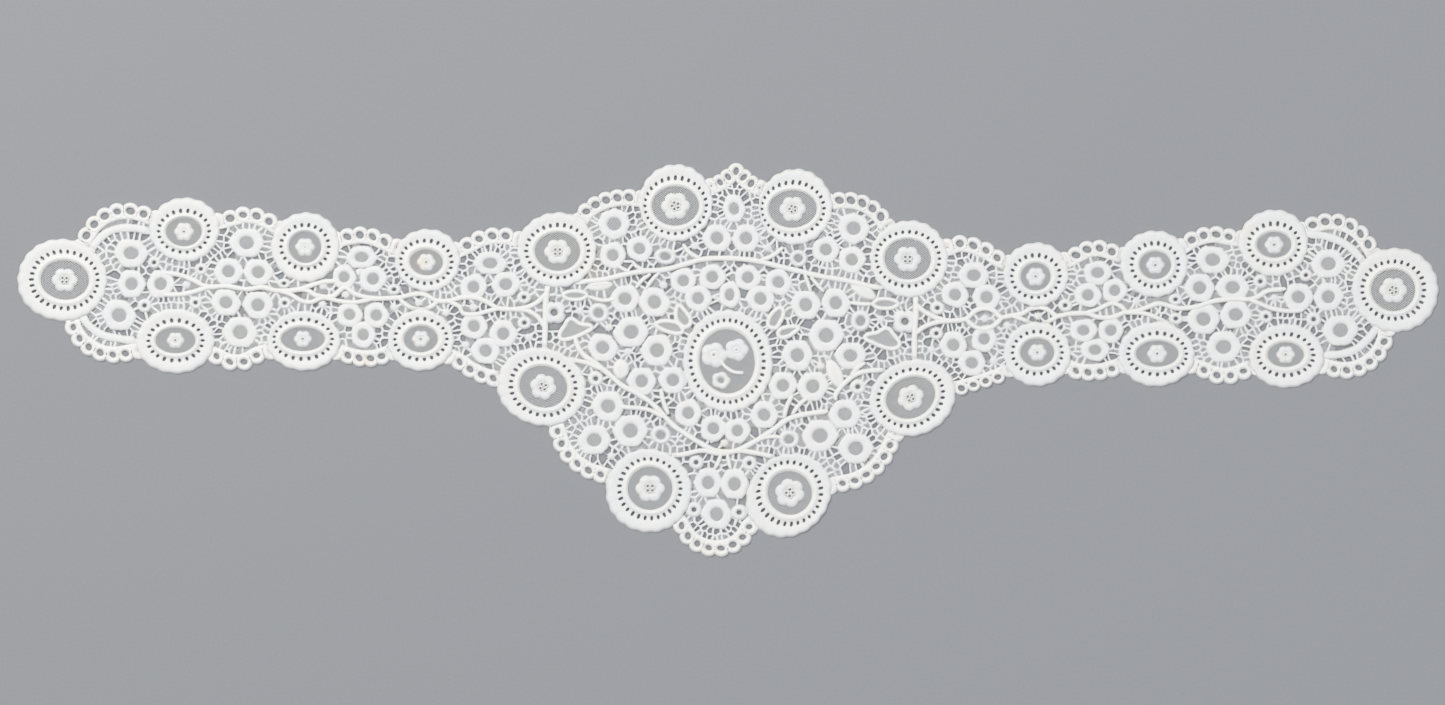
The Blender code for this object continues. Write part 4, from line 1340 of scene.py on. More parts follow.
# The border, clockwise from the left tip: each edging run joins the medallion in its row to the next
MEDALLIONS = [Medallion("medallion_" + name, *sizes) for name, *sizes in (
    ("tip_left", 62.5, 280, 45.5, 42, 0, 65, 280, 32.7, 28.5, 23.8, 19.8, 13, 4),
    ("top_1", 184.5, 229.7, 36.5, 32.7, 0, 184, 231.5, 25.5, 20.3, 18, 14.3, 10, 1),
    ("top_2", 305.5, 247.3, 35.5, 35.8, 0, 305, 246.8, 24, 21.5, 16.2, 15.7, 10, 0),
    ("top_3", 427.3, 260.3, 34, 32.3, 0, 426, 262, 25.8, 21.5, 16.5, 13, 9.5, 1),
    ("top_4", 557, 250, 40.3, 38.3, 0, 557.5, 251.3, 31, 26, 22.3, 19, 13.5, 4),
    ("top_5", 676, 203, 37.8, 39.2, 0, 675.7, 206, 31, 27.5, 23.3, 19.4, 14.5, 5),
    ("top_6", 795.5, 207, 38.2, 38.5, 0, 792.7, 209, 31.5, 26, 24.2, 18.3, 13.5, 5),
    ("top_7", 909, 259, 40.3, 39.5, 0, 907.8, 258.8, 32, 27, 23.2, 20.2, 14, 4),
    ("top_8", 1036, 274.5, 34, 33, 0, 1035.7, 276.3, 24.5, 21, 15, 13.8, 10, 1),
    ("top_9", 1154, 264, 35.2, 34.3, 0, 1154.8, 264.8, 23.5, 21.5, 15.8, 13.8, 9.5, 1),
    ("top_10", 1273.5, 243, 35.3, 34, 0, 1274, 244.5, 25, 20.5, 17, 12.7, 9.5, 1),
    ("tip_right", 1395, 290, 44, 43, 0, 1393, 290, 30.5, 28.5, 21.7, 21, 14, 5),
    ("low_10", 1286.5, 355.8, 38.6, 32.8, 0, 1286, 355, 27.5, 20.5, 18, 12.3, 9.5, 1),
    ("low_9", 1156.5, 354, 39, 33, 0, 1157.5, 354, 29, 20.3, 21, 12.8, 10, 1),
    ("low_8", 1037.4, 354, 34.4, 32.8, 0, 1037.4, 352.8, 24.5, 20.8, 16.5, 14, 9.3, 1),
    ("low_7", 912.5, 397.5, 45, 38.3, -20, 910.5, 397.5, 33, 27.5, 25, 20, 13.5, 4),
    ("low_6", 788.7, 495, 46, 39.8, -45, 789.7, 493, 31, 31, 21.5, 22, 15, 4),
    ("low_5", 649, 490.5, 43.5, 42.5, 0, 650, 488.7, 30, 29.3, 21.8, 21.3, 14.5, 4),
    ("low_4", 541.5, 386.5, 46, 39.5, 15, 543.5, 386.5, 32.5, 28, 24, 20.3, 13.5, 4),
    ("low_3", 421, 340.3, 34.5, 31.2, 0, 421.2, 339.3, 26.5, 20, 17, 13, 9, 1),
    ("low_2", 304, 340.7, 37.5, 30.6, 0, 303.3, 339.3, 29, 19.5, 21.5, 11.8, 9, 1),
    ("low_1", 175.5, 341, 40, 33, 0, 175.8, 340.7, 26.5, 19.5, 19.5, 12.5, 8.7, 1),
)]
CENTRE_MEDALLION = Medallion(
    "medallion_centre", 727.8, 361, 45.7, 52.5, 0, 727.2, 361.2, 36.5, 41.4, 27.3, 32.2, 17)

EDGINGS = [Edging("edging_" + name, *sizes) for name, *sizes in (
    ("top_1", 87, 235.6, 143.4, 214, 11.6, 6),
    ("top_2", 230.5, 219, 269, 221.5, 5.2, 4),
    ("top_3", 347.8, 237.3, 385, 242.2, 4, 4),
    ("top_4", 467.5, 246, 506.3, 236.2, 3.8, 4),
    ("top_5", 586, 212.2, 629, 197.3, 4.8, 5),
    ("top_6", 720.4, 182.3, 751, 183.4, 12, 5, 8.6, 0.85, True),
    ("top_7", 839.8, 200.5, 880.4, 216.6, 6, 5),
    ("top_8", 960.3, 243.9, 996.8, 258.3, 3.4, 4),
    ("top_9", 1076.4, 255.5, 1112, 252.2, 5.3, 4),
    ("top_10", 1192, 240.5, 1229.3, 237, 4, 4),
    ("top_11", 1312.3, 225.5, 1368.6, 244.2, 11.8, 6),
    ("low_11", 1384, 342, 1333.7, 368.8, 11, 6, 8.9, 0.84),
    ("low_10", 1243.4, 371, 1203.6, 370, 5.3, 4, 8.9, 0.84),
    ("low_9", 1112, 368.6, 1075.6, 371, 2.3, 4, 8.9, 0.84),
    ("low_8", 998, 377, 961.7, 388.5, 0, 4, 7.0, 0.8),
    ("low_7", 890, 445.6, 842, 483, 8.8, 6, 8.9, 0.84),
    ("low_6", 749.4, 526.6, 681.4, 526, 22.5, 8, 8.9, 0.84),
    ("low_5", 600.9, 474.2, 557.4, 431, 9.4, 6, 8.9, 0.84),
    ("low_4", 493, 378.2, 459.7, 362.5, 2.5, 4, 8.9, 0.84),
    ("low_3", 381.8, 355.8, 347.8, 355.8, 2.6, 4, 8.9, 0.84),
    ("low_2", 257, 355, 216.4, 356.7, 7, 4, 8.9, 0.84),
    ("low_1", 126, 353.3, 73, 327.6, 11.4, 6, 8.9, 0.84),
)]

# The ground's florets: the middle, the half sizes, and the petals where they aren't 6
FLORETS = [Floret(*row) for row in (
    # Left tip
    (131, 253.5, 17.5, 14.5), (131.5, 284, 14.5, 14.3), (161, 284.5, 14.5, 14.5), (119, 315, 17.5, 16),
    # Left arm, outer
    (247, 243, 17, 15.5), (228.5, 271.5, 14.5, 14), (258, 272.5, 15, 14), (226, 302.5, 15, 14),
    (258, 305, 15.5, 14.5), (240, 332, 17.5, 16.5),
    # Left arm, middle
    (362, 257.5, 16, 11.5), (344.5, 277, 12.5, 12.5, 5), (373, 279, 13.8, 13.8, 5),
    (349.5, 314.5, 13.3, 13, 5), (376, 315, 13.3, 12.8, 5), (363, 334.5, 13, 13.5, 5),
    # Left arm, inner
    (490.5, 263.5, 17, 12), (474, 287, 13.7, 13.7, 5), (506, 284.7, 14.7, 13.2),
    (474, 326, 13.7, 13.7, 5), (503, 333.5, 14.3, 14.3), (485.5, 350.5, 14.5, 14.3),
    # Crown, left
    (614, 224, 17, 15.5, 8), (613, 255.5, 13.7, 13.7, 5), (640, 249, 13.7, 13.3, 5),
    (717, 238.5, 14.5, 14.5), (733.7, 208.5, 11.7, 14.7),
    # Crown, right
    (746, 238.5, 14.5, 14.5), (826, 250, 13.7, 13.5, 5), (851.5, 260, 14, 13.8, 5),
    (853.5, 228.5, 16.3, 15.7, 8),
    # Centre, left of the oval
    (625.5, 299, 15.3, 14), (654.5, 302.5, 15.5, 16), (683, 280.5, 13.5, 13.2, 5),
    (698, 298.3, 14, 14, 5), (631, 332, 17.3, 16), (603, 347.3, 15.3, 14.7), (657, 350.5, 16.7, 16.3),
    (712, 277, 13.8, 13.3, 5),
    # Centre, right of the oval
    (748, 278, 13.8, 13.3, 5), (778.7, 282.3, 13.8, 13.8, 5), (730, 294.7, 11, 14, 5),
    (761, 299.3, 14.3, 14.3), (805.7, 304.7, 14.7, 15.7), (835.7, 302.7, 14.7, 15.2),
    (826, 335.5, 18, 17.3), (797.3, 355.5, 16, 16), (851, 355.3, 16, 14.3),
    # Below the oval, left
    (641.5, 381, 14.7, 14.7), (673, 380, 14.8, 14.2), (608, 406.5, 17, 15.8), (630.5, 431, 17.5, 17.2),
    (594, 440, 17.2, 15.3), (688.5, 413, 13.8, 14, 5), (713, 428.7, 13.5, 13.5, 5),
    # Below the oval, right
    (782.7, 385.3, 14.8, 14.3), (813, 386.7, 15.8, 15.7), (764, 415, 14.7, 14.3),
    (845, 414.3, 16.3, 15.3), (820, 435.7, 18, 16.7), (855.5, 448.5, 17.5, 16),
    (737, 431, 13.3, 13.3, 5),
    # Foot
    (707.8, 482.5, 14.7, 15.3), (734.5, 483.7, 15, 15.7), (717, 514, 15.3, 16.2),
    # Right arm, inner
    (973.5, 275.5, 15.7, 13.5), (955, 294.6, 13.8, 13.5, 5), (986.5, 297.7, 14.5, 13.8),
    (953.3, 345, 14.5, 14.2), (984.3, 338.7, 13.5, 13.5, 5), (972, 362.6, 14.7, 13.3),
    # Right arm, middle
    (1097.5, 273, 14.7, 12.2, 5), (1088, 295, 13.5, 12.8, 5), (1114.5, 291, 12.7, 12.7, 5),
    (1083, 330, 14, 12.2, 5), (1110.5, 330.5, 13.5, 12.7, 5), (1095, 349.5, 14.7, 11.8, 5),
    # Right arm, outer
    (1213, 260, 17.2, 14.5), (1200, 287.7, 15.3, 14.7), (1232.7, 288, 16.5, 14.3),
    (1203.3, 318.7, 16.5, 15.7), (1235.3, 315, 16.3, 14.3), (1223.3, 346.7, 18.3, 16),
    # Right tip
    (1328.3, 264, 17.5, 15.2), (1298.5, 297, 15.7, 14.3), (1328.8, 296.7, 15, 14.7),
    (1340.3, 330, 17.5, 16.2),
)]

# Small rings: the middle and the half sizes
RINGS = [Ring(*row) for row in (
    # Left arm
    (154, 263, 6.3, 6), (145, 305.7, 7.2, 6.8), (201.3, 268.7, 6.5, 6), (196, 302.7, 6.5, 6.3),
    (284, 284, 6.5, 5), (285, 303.7, 7, 6), (394, 290, 7, 5.5), (524, 298, 7, 6.3),
    (524, 323.3, 7, 6.3),
    # Centre
    (599, 312.7, 11.3, 10.7), (665.5, 256, 12, 9), (798.7, 258, 9.7, 9.2), (860.7, 320.7, 10.8, 11.2),
    (595.5, 379, 7.7, 7.7), (858, 386.7, 8, 7.7), (661, 434.8, 11, 10.2), (789.3, 439, 11.2, 10),
    (696, 462.3, 7.3, 7), (749.7, 463.7, 7.5, 7.3), (694, 510, 8, 7.7), (739.7, 512, 8.3, 7.7),
    (905, 321.7, 12.7, 12.3), (554, 312.5, 12.5, 12),
    # Right arm
    (937.3, 308, 7.3, 6.7), (936, 333.7, 6.8, 6.3), (1065.5, 305.3, 7, 6.3), (1176, 299.3, 7, 5.8),
    (1176, 318.7, 7, 6), (1260, 281.4, 7, 7), (1265.7, 316.8, 6.8, 6.5), (1305.6, 275.2, 6.5, 6),
    (1313.8, 319, 7.5, 7.3),
)]

# Padded leaves, along the direction of their turn
LEAVES = [Leaf(*row) for row in (
    (600, 285.5, 14, 5, -5), (863, 290.5, 16, 6, 33), (620.5, 368.5, 10.5, 7.5, 92), (835, 374, 16, 7, 66),
)]

# Leaves of net: half of the cord's width, and the cord's places
NETTED_LEAVES = [NettedLeaf(*row) for row in (
    (2.1, ((562.5, 295), (568, 291.6), (575, 291), (582, 291.6), (588, 295), (582, 299), (575, 299.6),
     (568, 298.8))),
    (2.1, ((873, 304.5), (878, 300.2), (886, 299.3), (894, 300.6), (899, 304), (893, 308.3),
     (885, 309), (877, 308))),
    (2.3, ((559.5, 337.5), (561, 331), (565, 326), (567.5, 320.5), (572, 318.5), (577, 322),
     (582, 324.8), (590, 324.8), (592.5, 328), (584, 333.5), (574, 338), (563, 340.2))),
    (2.3, ((864.5, 337.5), (868, 334), (876, 333.5), (880, 331.5), (884.5, 328.5), (889, 328.8),
     (893, 334), (898.5, 340.5), (900, 345.5), (893, 349), (883, 347), (874, 343), (867, 339.5))),
    (2.3, ((655, 324.5), (661, 321.5), (669, 321.3), (676, 322.8), (681, 327), (683, 331.5),
     (678, 334), (670, 332.5), (661, 329.5))),
    (2.3, ((678, 304.5), (675.5, 311), (675.5, 318), (678, 323), (684, 327.5), (689.5, 325),
     (690.5, 319.5), (686, 312.5), (681.5, 307))),
    (2.3, ((768, 326.5), (768.5, 320), (771.5, 314.5), (776.5, 309.5), (781, 307.5), (783.5, 311),
     (783, 316), (780, 322), (775.5, 328.5))),
    (2.3, ((777.5, 334), (779, 330), (786, 327.3), (793, 326.5), (799, 327.5), (795, 331.5),
     (789, 336), (782, 338), (778.5, 337))),
)]

# Stems: half of each one's width, the places that it runs through, and for a band its height and part
STEMS = [Stem(*row) for row in (
    # Half-moons at the tips
    (4.6, ((87, 258), (93, 248), (98, 241.5), (104, 235.5), (112, 231), (122, 228.5), (134, 228.3),
     (146, 230.5), (152, 232)), MOON_CROWN, Part.CLOTH),
    (4.6, ((81, 313), (86, 322.5), (94, 330.5), (105, 336), (119, 338.5), (138, 340.5)),
     MOON_CROWN, Part.CLOTH),
    (4.6, ((1306, 235), (1318, 235.5), (1331, 238), (1343, 243), (1353, 250), (1361, 259), (1369, 270)),
     MOON_CROWN, Part.CLOTH),
    (4.6, ((1322, 354.5), (1340, 353.8), (1355, 349.5), (1366, 341), (1374, 331), (1380, 320)),
     MOON_CROWN, Part.CLOTH),
    # Left arm
    (2.8, ((164, 273), (180, 275), (194, 280), (208, 286.5), (226, 286), (246, 289), (262, 287.5),
     (276, 291), (292, 291), (303, 288.5), (313, 284.5), (324, 281.5), (337, 281))),
    (2.8, ((164, 295.5), (182, 294.5), (196, 291), (210, 286.3))),
    (2.8, ((289, 290.6), (306, 290), (318, 295.5), (333, 296), (345, 287.5), (356, 294), (372, 298),
     (386, 298.5), (400, 298), (410, 295.5), (423, 294), (437, 300.5), (450, 300.5),
     (462, 297.5), (476, 297.5), (488, 302), (498, 308), (512, 309.5), (526, 308), (538, 302),
     (547, 292))),
    (2.6, ((273, 290.3), (282, 292), (292, 295.5), (302, 301), (312, 302), (324, 297.5), (340, 301),
     (356, 302), (374, 298.2))),
    (2.6, ((398, 298), (407, 306), (419, 310), (430, 307.5), (439, 300.6))),
    (2.6, ((447, 300.5), (459, 306), (464, 313.5), (476, 314), (487, 311), (500, 308.2))),
    (2.8, ((509, 309.4), (518, 310), (528, 311.5), (538, 318), (545, 329))),
    # Over the oval
    (3.0, ((574, 282.5), (589, 281), (604, 279.5), (622, 275.5), (644, 271.5), (664, 269.5),
     (684, 264), (704, 259.3), (728, 258.5), (752, 260.5), (776, 265.5), (800, 271),
     (822, 276.5), (846, 280.5), (872, 287), (884, 288))),
    (2.3, ((588, 296), (602, 300), (616, 299))),
    (2.3, ((873, 304.5), (861, 304), (849, 302))),
    (2.5, ((683, 243.5), (689, 252), (700, 259))),
    (2.5, ((784, 246.5), (773, 255.5), (760, 261))),
    (2.2, ((616, 264), (622, 268.5), (631, 273))),
    (2.2, ((632, 261), (637, 267), (646, 271))),
    (2.2, ((651, 274), (642, 281), (636, 289))),
    (2.2, ((660, 272), (652, 280.5), (646, 290))),
    (2.2, ((804, 273), (808, 283), (811, 292))),
    (2.2, ((810, 276), (817, 284.5), (824, 292))),
    # Lower left spray
    (3.0, ((575, 336), (576.5, 341), (579, 348), (585, 356), (595, 363), (609, 374.5), (622, 385.5),
     (636, 393), (650, 401.5), (661, 411.5), (672, 423.5), (685, 433.3), (700, 443), (714, 450),
     (728, 452), (740, 449.5), (751, 444), (761, 438), (770, 432), (779, 425), (788, 418.7),
     (800, 415), (815, 413), (829, 411.5))),
    (2.4, ((748, 445.6), (756, 441.5), (765, 437.8), (775, 436.5), (782, 438))),
    (2.8, ((564, 358), (576, 361), (588, 363.5), (602, 369.5))),
    (2.6, ((620, 407), (636, 408), (650, 410), (664, 417))),
    (2.6, ((661, 388), (663.5, 400), (669, 414))),
    (2.8, ((660, 455), (672, 455), (684, 454), (702, 450.5), (720, 453.5), (738, 451), (756, 453.5),
     (776, 457.5))),
    # Lower right spray
    (2.6, ((784, 418), (787, 406), (793, 394))),
    (2.4, ((792, 414.5), (800, 404), (808, 398))),
    (2.8, ((837, 401), (836, 395), (844, 384), (856, 374), (870, 370.5), (886, 370))),
    (2.6, ((866, 362), (857, 368), (850, 378))),
    (2.4, ((721, 453), (718.5, 461), (714, 469))),
    (2.4, ((727, 453), (728.5, 461), (731, 469))),
    # Right arm
    (2.8, ((914, 302), (925, 312), (938, 318.5), (952, 320.5), (966, 318), (975, 310.5), (985, 308.5),
     (994, 311.5), (1001, 317.5), (1012, 316), (1022, 314), (1031, 308.5), (1041, 307),
     (1050, 311), (1057, 316), (1070, 313.5), (1086, 313), (1098, 317), (1112, 317.5),
     (1124, 313), (1136, 311.5), (1148, 307), (1160, 303.5), (1178, 308), (1196, 306.5),
     (1214, 301), (1232, 299.5), (1250, 299.5), (1259, 296), (1268, 290.5), (1286, 288.5))),
    (2.8, ((914, 335), (924, 327), (938, 322), (954, 320.5))),
    (2.8, ((964, 317.5), (974, 326), (985, 329), (994, 325.5), (1003, 317.5))),
    (2.6, ((1010, 315.8), (1024, 320), (1033, 324.5), (1043, 324), (1052, 319.5), (1059, 316))),
    (2.6, ((1084, 313), (1098, 309), (1110, 304), (1119, 306), (1127, 312.5))),
    (2.6, ((1122, 313.3), (1136, 313), (1148, 314.5), (1160, 319.5), (1170, 325))),
    (2.6, ((1248, 299.5), (1260, 304), (1272, 308.5), (1288, 311), (1304, 310))),
    # Upright, with the stretches of ground joined along their outer sides
    (3.3, ((549, 276), (547, 290), (545.5, 304), (545, 322), (545, 360))),
    (3.3, ((916, 286), (916, 312), (914.5, 332), (914.5, 372))),
)]

# The widest open places of the ground
GAPS = [Gap(*row) for row in (
    (115, 274, 4.7), (228, 252, 3.8), (531, 329, 4.8), (555, 327, 4.5), (600, 330, 4.2),
    (712, 303, 4.2), (743, 297, 4.2), (808, 325, 4.2), (883, 357, 4.5), (927, 342, 5.4),
    (985, 356, 4.8), (1283, 281, 4.4), (603, 459, 4.7), (784, 402, 4.2), (753.5, 432.5, 4.2),
    (845, 468, 4.7), (740, 500, 4.7),
)]

# Small fluffy knots in the ground
KNOTS = [Knot(*place) for place in (
    (187, 284.5), (323.7, 285.4), (346, 294.5), (323, 304.4), (360, 272), (394, 307.7), (419, 302.8),
    (446.5, 312.7), (473.8, 307), (465.7, 345), (528.7, 337.4), (628, 351.5), (611.6, 456), (694.7, 246),
    (663.5, 285), (580, 311), (609, 327), (767.7, 247.8), (724, 443), (821, 366.5), (880.7, 319.4),
    (931, 350), (984.4, 318.5), (994, 360.8), (1007.6, 326), (1038, 316), (1136.4, 301), (1274, 297.8),
)]


@dataclass
class Clearing:
    """How far each place of the card is from the nearest motif, on a fine ruling of the card."""

    low: Spot = (0.0, 150.0)
    high: Spot = (1450.0, 570.0)
    pitch: float = 0.5
    reach: float = 14.0
    room: Array = field(init=False)

    def __post_init__(self) -> None:
        """Start with room everywhere."""
        self.across = np.arange(self.low[0], self.high[0], self.pitch)
        self.down = np.arange(self.low[1], self.high[1], self.pitch)
        self.room = np.full((len(self.down), len(self.across)), self.reach)

    def keep_inside(self, outline: Sequence[Spot]) -> None:
        """Leave no room outside a closed outline.

        Args:
            outline: the outline's corners.
        """
        x, y = np.meshgrid(self.across, self.down)
        inside = np.zeros(x.shape, bool)
        for (x1, y1), (x2, y2) in zip(outline, [*outline[1:], outline[0]]):
            rows = slice(*np.searchsorted(self.down, sorted((y1, y2))))
            if y1 != y2:
                share = (y[rows] - y1) / (y2 - y1)
                inside[rows] ^= x[rows] < blend(x1, x2, share)
        self.room[~inside] = -self.reach

    def keep_off(self, away: Field, size: float, *places: Spot) -> None:
        """Take away the room of one motif.

        Args:
            away: how far places lie outside the motif.
            size: how far it reaches from its own places.
            places: its own places, or its middle.
        """
        reach = size + self.reach
        low, high = np.min(places, axis=0) - reach, np.max(places, axis=0) + reach
        columns = slice(*np.searchsorted(self.across, (low[0], high[0])))
        rows = slice(*np.searchsorted(self.down, (low[1], high[1])))
        x, y = np.meshgrid(self.across[columns], self.down[rows])
        self.room[rows, columns] = np.minimum(self.room[rows, columns], away(x, y))

    def cell(self, x: Array, y: Array) -> tuple[Array, Array]:
        """Find the cells of the ruling that places lie in.

        Args:
            x: places across the card.
            y: places down the card.

        Returns:
            The rows and the columns of the cells.
        """
        column = np.clip(((x - self.low[0]) / self.pitch).astype(int), 0, len(self.across) - 1)
        row = np.clip(((y - self.low[1]) / self.pitch).astype(int), 0, len(self.down) - 1)
        return row, column

    def at(self, x: Array, y: Array) -> Array:
        """The room at places."""
        return self.room[self.cell(x, y)]


@dataclass
class ThreadGround:
    """The ground of bars and fine threads between the motifs."""

    clearing: Clearing
    ring_room: float = 2.6
    ring_pitch: float = 4.9
    inner_pitch: float = 5.2
    bar_half: float = 1.4
    net: Hatch = Hatch(33, 1.4, 0.4)
    cross_net: Hatch = Hatch(-52, 2.8, 0.28)

    LEAST_ROOM = 0.8
    ROW_ROOM = 5.0
    UNEVEN = 0.9
    BUCKET = 8
    GAP_RIM = 3.0
    WIDE_GAP = 7.0
    MIRROR_REACH = 5.5
    BAR_HEIGHT = 1.2
    BAR_WIDTH = 0.93
    BAR_LENGTHS = (0.5, 14)
    BAR_ROOM = (-9, 0.2)
    BAR_LEVELS = (-0.00008, 0.00016)
    BAR_SWING = 0.3
    BAR_LAP = 0.4
    BAR_ARCH = 0.00004
    UNDER = 1.6
    HAIR = 1.0
    OPEN_ROOM = 3.4
    OPEN_SHARE = 0.36
    BAR_NEAR = 3.9
    NET_UNDER = 0.7
    NET_SAMPLE = 0.7
    NET_BOX = ((0.0, 160.0), (1450.0, 560.0))

    def meshes(self) -> Array:
        """Choose the open meshes, in rows round each motif and scattered between.

        Returns:
            Their middles, those of the wide gaps first.
        """
        rng = np.random.default_rng(SEED)
        room = self.clearing.room[::2, ::2]
        row, column = np.nonzero(room > self.LEAST_ROOM)
        x, y, room = self.clearing.across[::2][column], self.clearing.down[::2][row], room[row, column]
        rank = np.where(room < self.ROW_ROOM, np.abs(room - self.ring_room), 2 + 3 * rng.random(len(room)))
        rank = rank + self.UNEVEN * rng.random(len(room))
        near: dict[tuple[int, int], list[tuple[float, float, float]]] = {}
        chosen = []

        def try_place(px: float, py: float, apart: float) -> None:
            """Choose a place if no chosen one is nearer than it may be.

            Args:
                px: the place across the card.
                py: the place down the card.
                apart: how far away every other one has to be.
            """
            key = (int(px // self.BUCKET), int(py // self.BUCKET))
            for i in (key[0] - 1, key[0], key[0] + 1):
                for j in (key[1] - 1, key[1], key[1] + 1):
                    for ox, oy, other in near.get((i, j), ()):
                        if math.hypot(px - ox, py - oy) < max(apart, other):
                            return
            near.setdefault(key, []).append((px, py, apart if apart > self.WIDE_GAP else 0.0))
            chosen.append((px, py))

        for gap in GAPS:
            try_place(gap.x, gap.y, gap.radius + self.GAP_RIM)
        for i in np.argsort(rank):
            apart = self.ring_pitch if room[i] < self.ROW_ROOM else self.inner_pitch
            try_place(float(x[i]), float(y[i]), apart)
        return np.array(chosen)

    def mirrored(self, seeds: Array) -> Array:
        """Mirror the meshes beside a motif into it, so that bars meet motifs squarely.

        Args:
            seeds: the middles of the meshes.

        Returns:
            The mirrored places.
        """
        found = []
        for turn in np.arange(8) * math.pi / 4:
            way = np.array([math.cos(turn), math.sin(turn)])
            reach = np.full(len(seeds), np.inf)
            for step in np.arange(self.MIRROR_REACH, 0, -0.5):
                reach = np.where(self.clearing.at(*(seeds + step * way).T) <= 0, step, reach)
            near = np.isfinite(reach)
            found.append(seeds[near] + 2 * reach[near, None] * way)
        mirrored = np.concatenate(found)
        return mirrored[self.clearing.at(*mirrored.T) < 0]

    def corners(self, corner: Array, faces: Array) -> Array:
        """The places where the bars meet, one in each triangle of meshes.

        Args:
            corner: the middles of the meshes.
            faces: numbers of the three meshes of each triangle.

        Returns:
            A place near the triangle's middle, drawn towards the one that is equally far from all three.
        """
        a, b, c = (corner[faces[:, i]] for i in range(3))
        middle = (a + b + c) / 3
        ab, ac = b - a, c - a
        area = 2 * (ab[:, 0] * ac[:, 1] - ab[:, 1] * ac[:, 0])
        area = np.where(np.abs(area) < 1e-6, 1e-6, area)
        ab2, ac2 = (ab ** 2).sum(axis=1), (ac ** 2).sum(axis=1)
        offset = np.stack([ac[:, 1] * ab2 - ab[:, 1] * ac2, ab[:, 0] * ac2 - ac[:, 0] * ab2], axis=1)
        pull = a + offset / area[:, None] - middle
        length = np.maximum(np.hypot(*pull.T), 1e-6)[:, None]
        return middle + pull * np.minimum(1, 4.0 / length) * 0.8

    def bars(self, seeds: Array) -> list[tuple[Array, Array]]:
        """The bars between neighbouring meshes.

        Args:
            seeds: the middles of the meshes.

        Returns:
            For each bar, its two ends.
        """
        places = [Vector(place) for place in np.concatenate([seeds, self.mirrored(seeds)])]
        spots, _, faces, origins, _, _ = delaunay_2d_cdt(places, [], [], 0, 0.01)
        real = np.array([min(origin) < len(seeds) for origin in origins])
        faces = np.array(faces)
        middle = self.corners(np.array([tuple(spot) for spot in spots]), faces)
        beside = ~real[faces].all(axis=1)
        middle[beside] = self.pushed_under(middle[beside])
        owner: dict[tuple[int, int], int] = {}
        bars = []
        for number, face in enumerate(faces):
            for i, j in ((face[0], face[1]), (face[1], face[2]), (face[2], face[0])):
                if not (real[i] and real[j]):
                    continue
                key = (min(i, j), max(i, j))
                if key in owner:
                    bars.append((middle[owner[key]], middle[number]))
                else:
                    owner[key] = number
        return bars

    def pushed_under(self, places: Array) -> Array:
        """Places near a motif, moved a little way under its edge."""
        room = self.clearing.at(*places.T)
        return places - self.slope(places) * np.clip(room + self.UNDER, 0, 6)[:, None]

    def slope(self, places: Array) -> Array:
        """Find the way to more room.

        Args:
            places: the places, a row for each.

        Returns:
            The direction at each place, of length 1 or less.
        """
        clearing, hair = self.clearing, self.HAIR
        x, y = places.T
        across = clearing.at(x + hair, y) - clearing.at(x - hair, y)
        down = clearing.at(x, y + hair) - clearing.at(x, y - hair)
        return np.stack([across, down], axis=1) / np.maximum(np.hypot(across, down), 0.2)[:, None]

    def work(self, skeins: dict[str, Skein], netted: dict[str, Skein]) -> None:
        """Lay the whole ground.

        Args:
            skeins: the skein of bars of each stretch.
            netted: the skein of fine threads of each stretch.
        """
        rng = np.random.default_rng(SEED + 1)
        seeds = self.meshes()
        laid = 0
        for start, end in self.bars(seeds):
            ways = np.array([0, 0.5, 1.0])
            x, y = blend(start[0], end[0], ways), blend(start[1], end[1], ways)
            room = self.clearing.at(x, y)
            length = math.hypot(end[0] - start[0], end[1] - start[1])
            shortest, longest = self.BAR_LENGTHS
            deepest, least = self.BAR_ROOM
            if length < shortest or length > longest or room.max() < least or room.min() < deepest:
                continue
            run, drop = (end - start) / length
            swing = self.BAR_SWING * rng.standard_normal()
            thick = self.bar_half * rng.uniform(0.75, 1.25)
            level = GROUND_LEVEL + rng.uniform(*self.BAR_LEVELS)
            x += np.array([-self.BAR_LAP * run, swing * drop, self.BAR_LAP * run])
            y += np.array([-self.BAR_LAP * drop, -swing * run, self.BAR_LAP * drop])
            skeins[stretch_at(x[1])].lay(x, y, level + self.BAR_ARCH * np.array([-1, 2, -1]),
                                         self.BAR_WIDTH * thick, self.BAR_HEIGHT * thick * CARD_STEP)
            laid += 1
        log.info("ground: %d meshes, %d bars", len(seeds), laid)
        self.fill(seeds, netted)

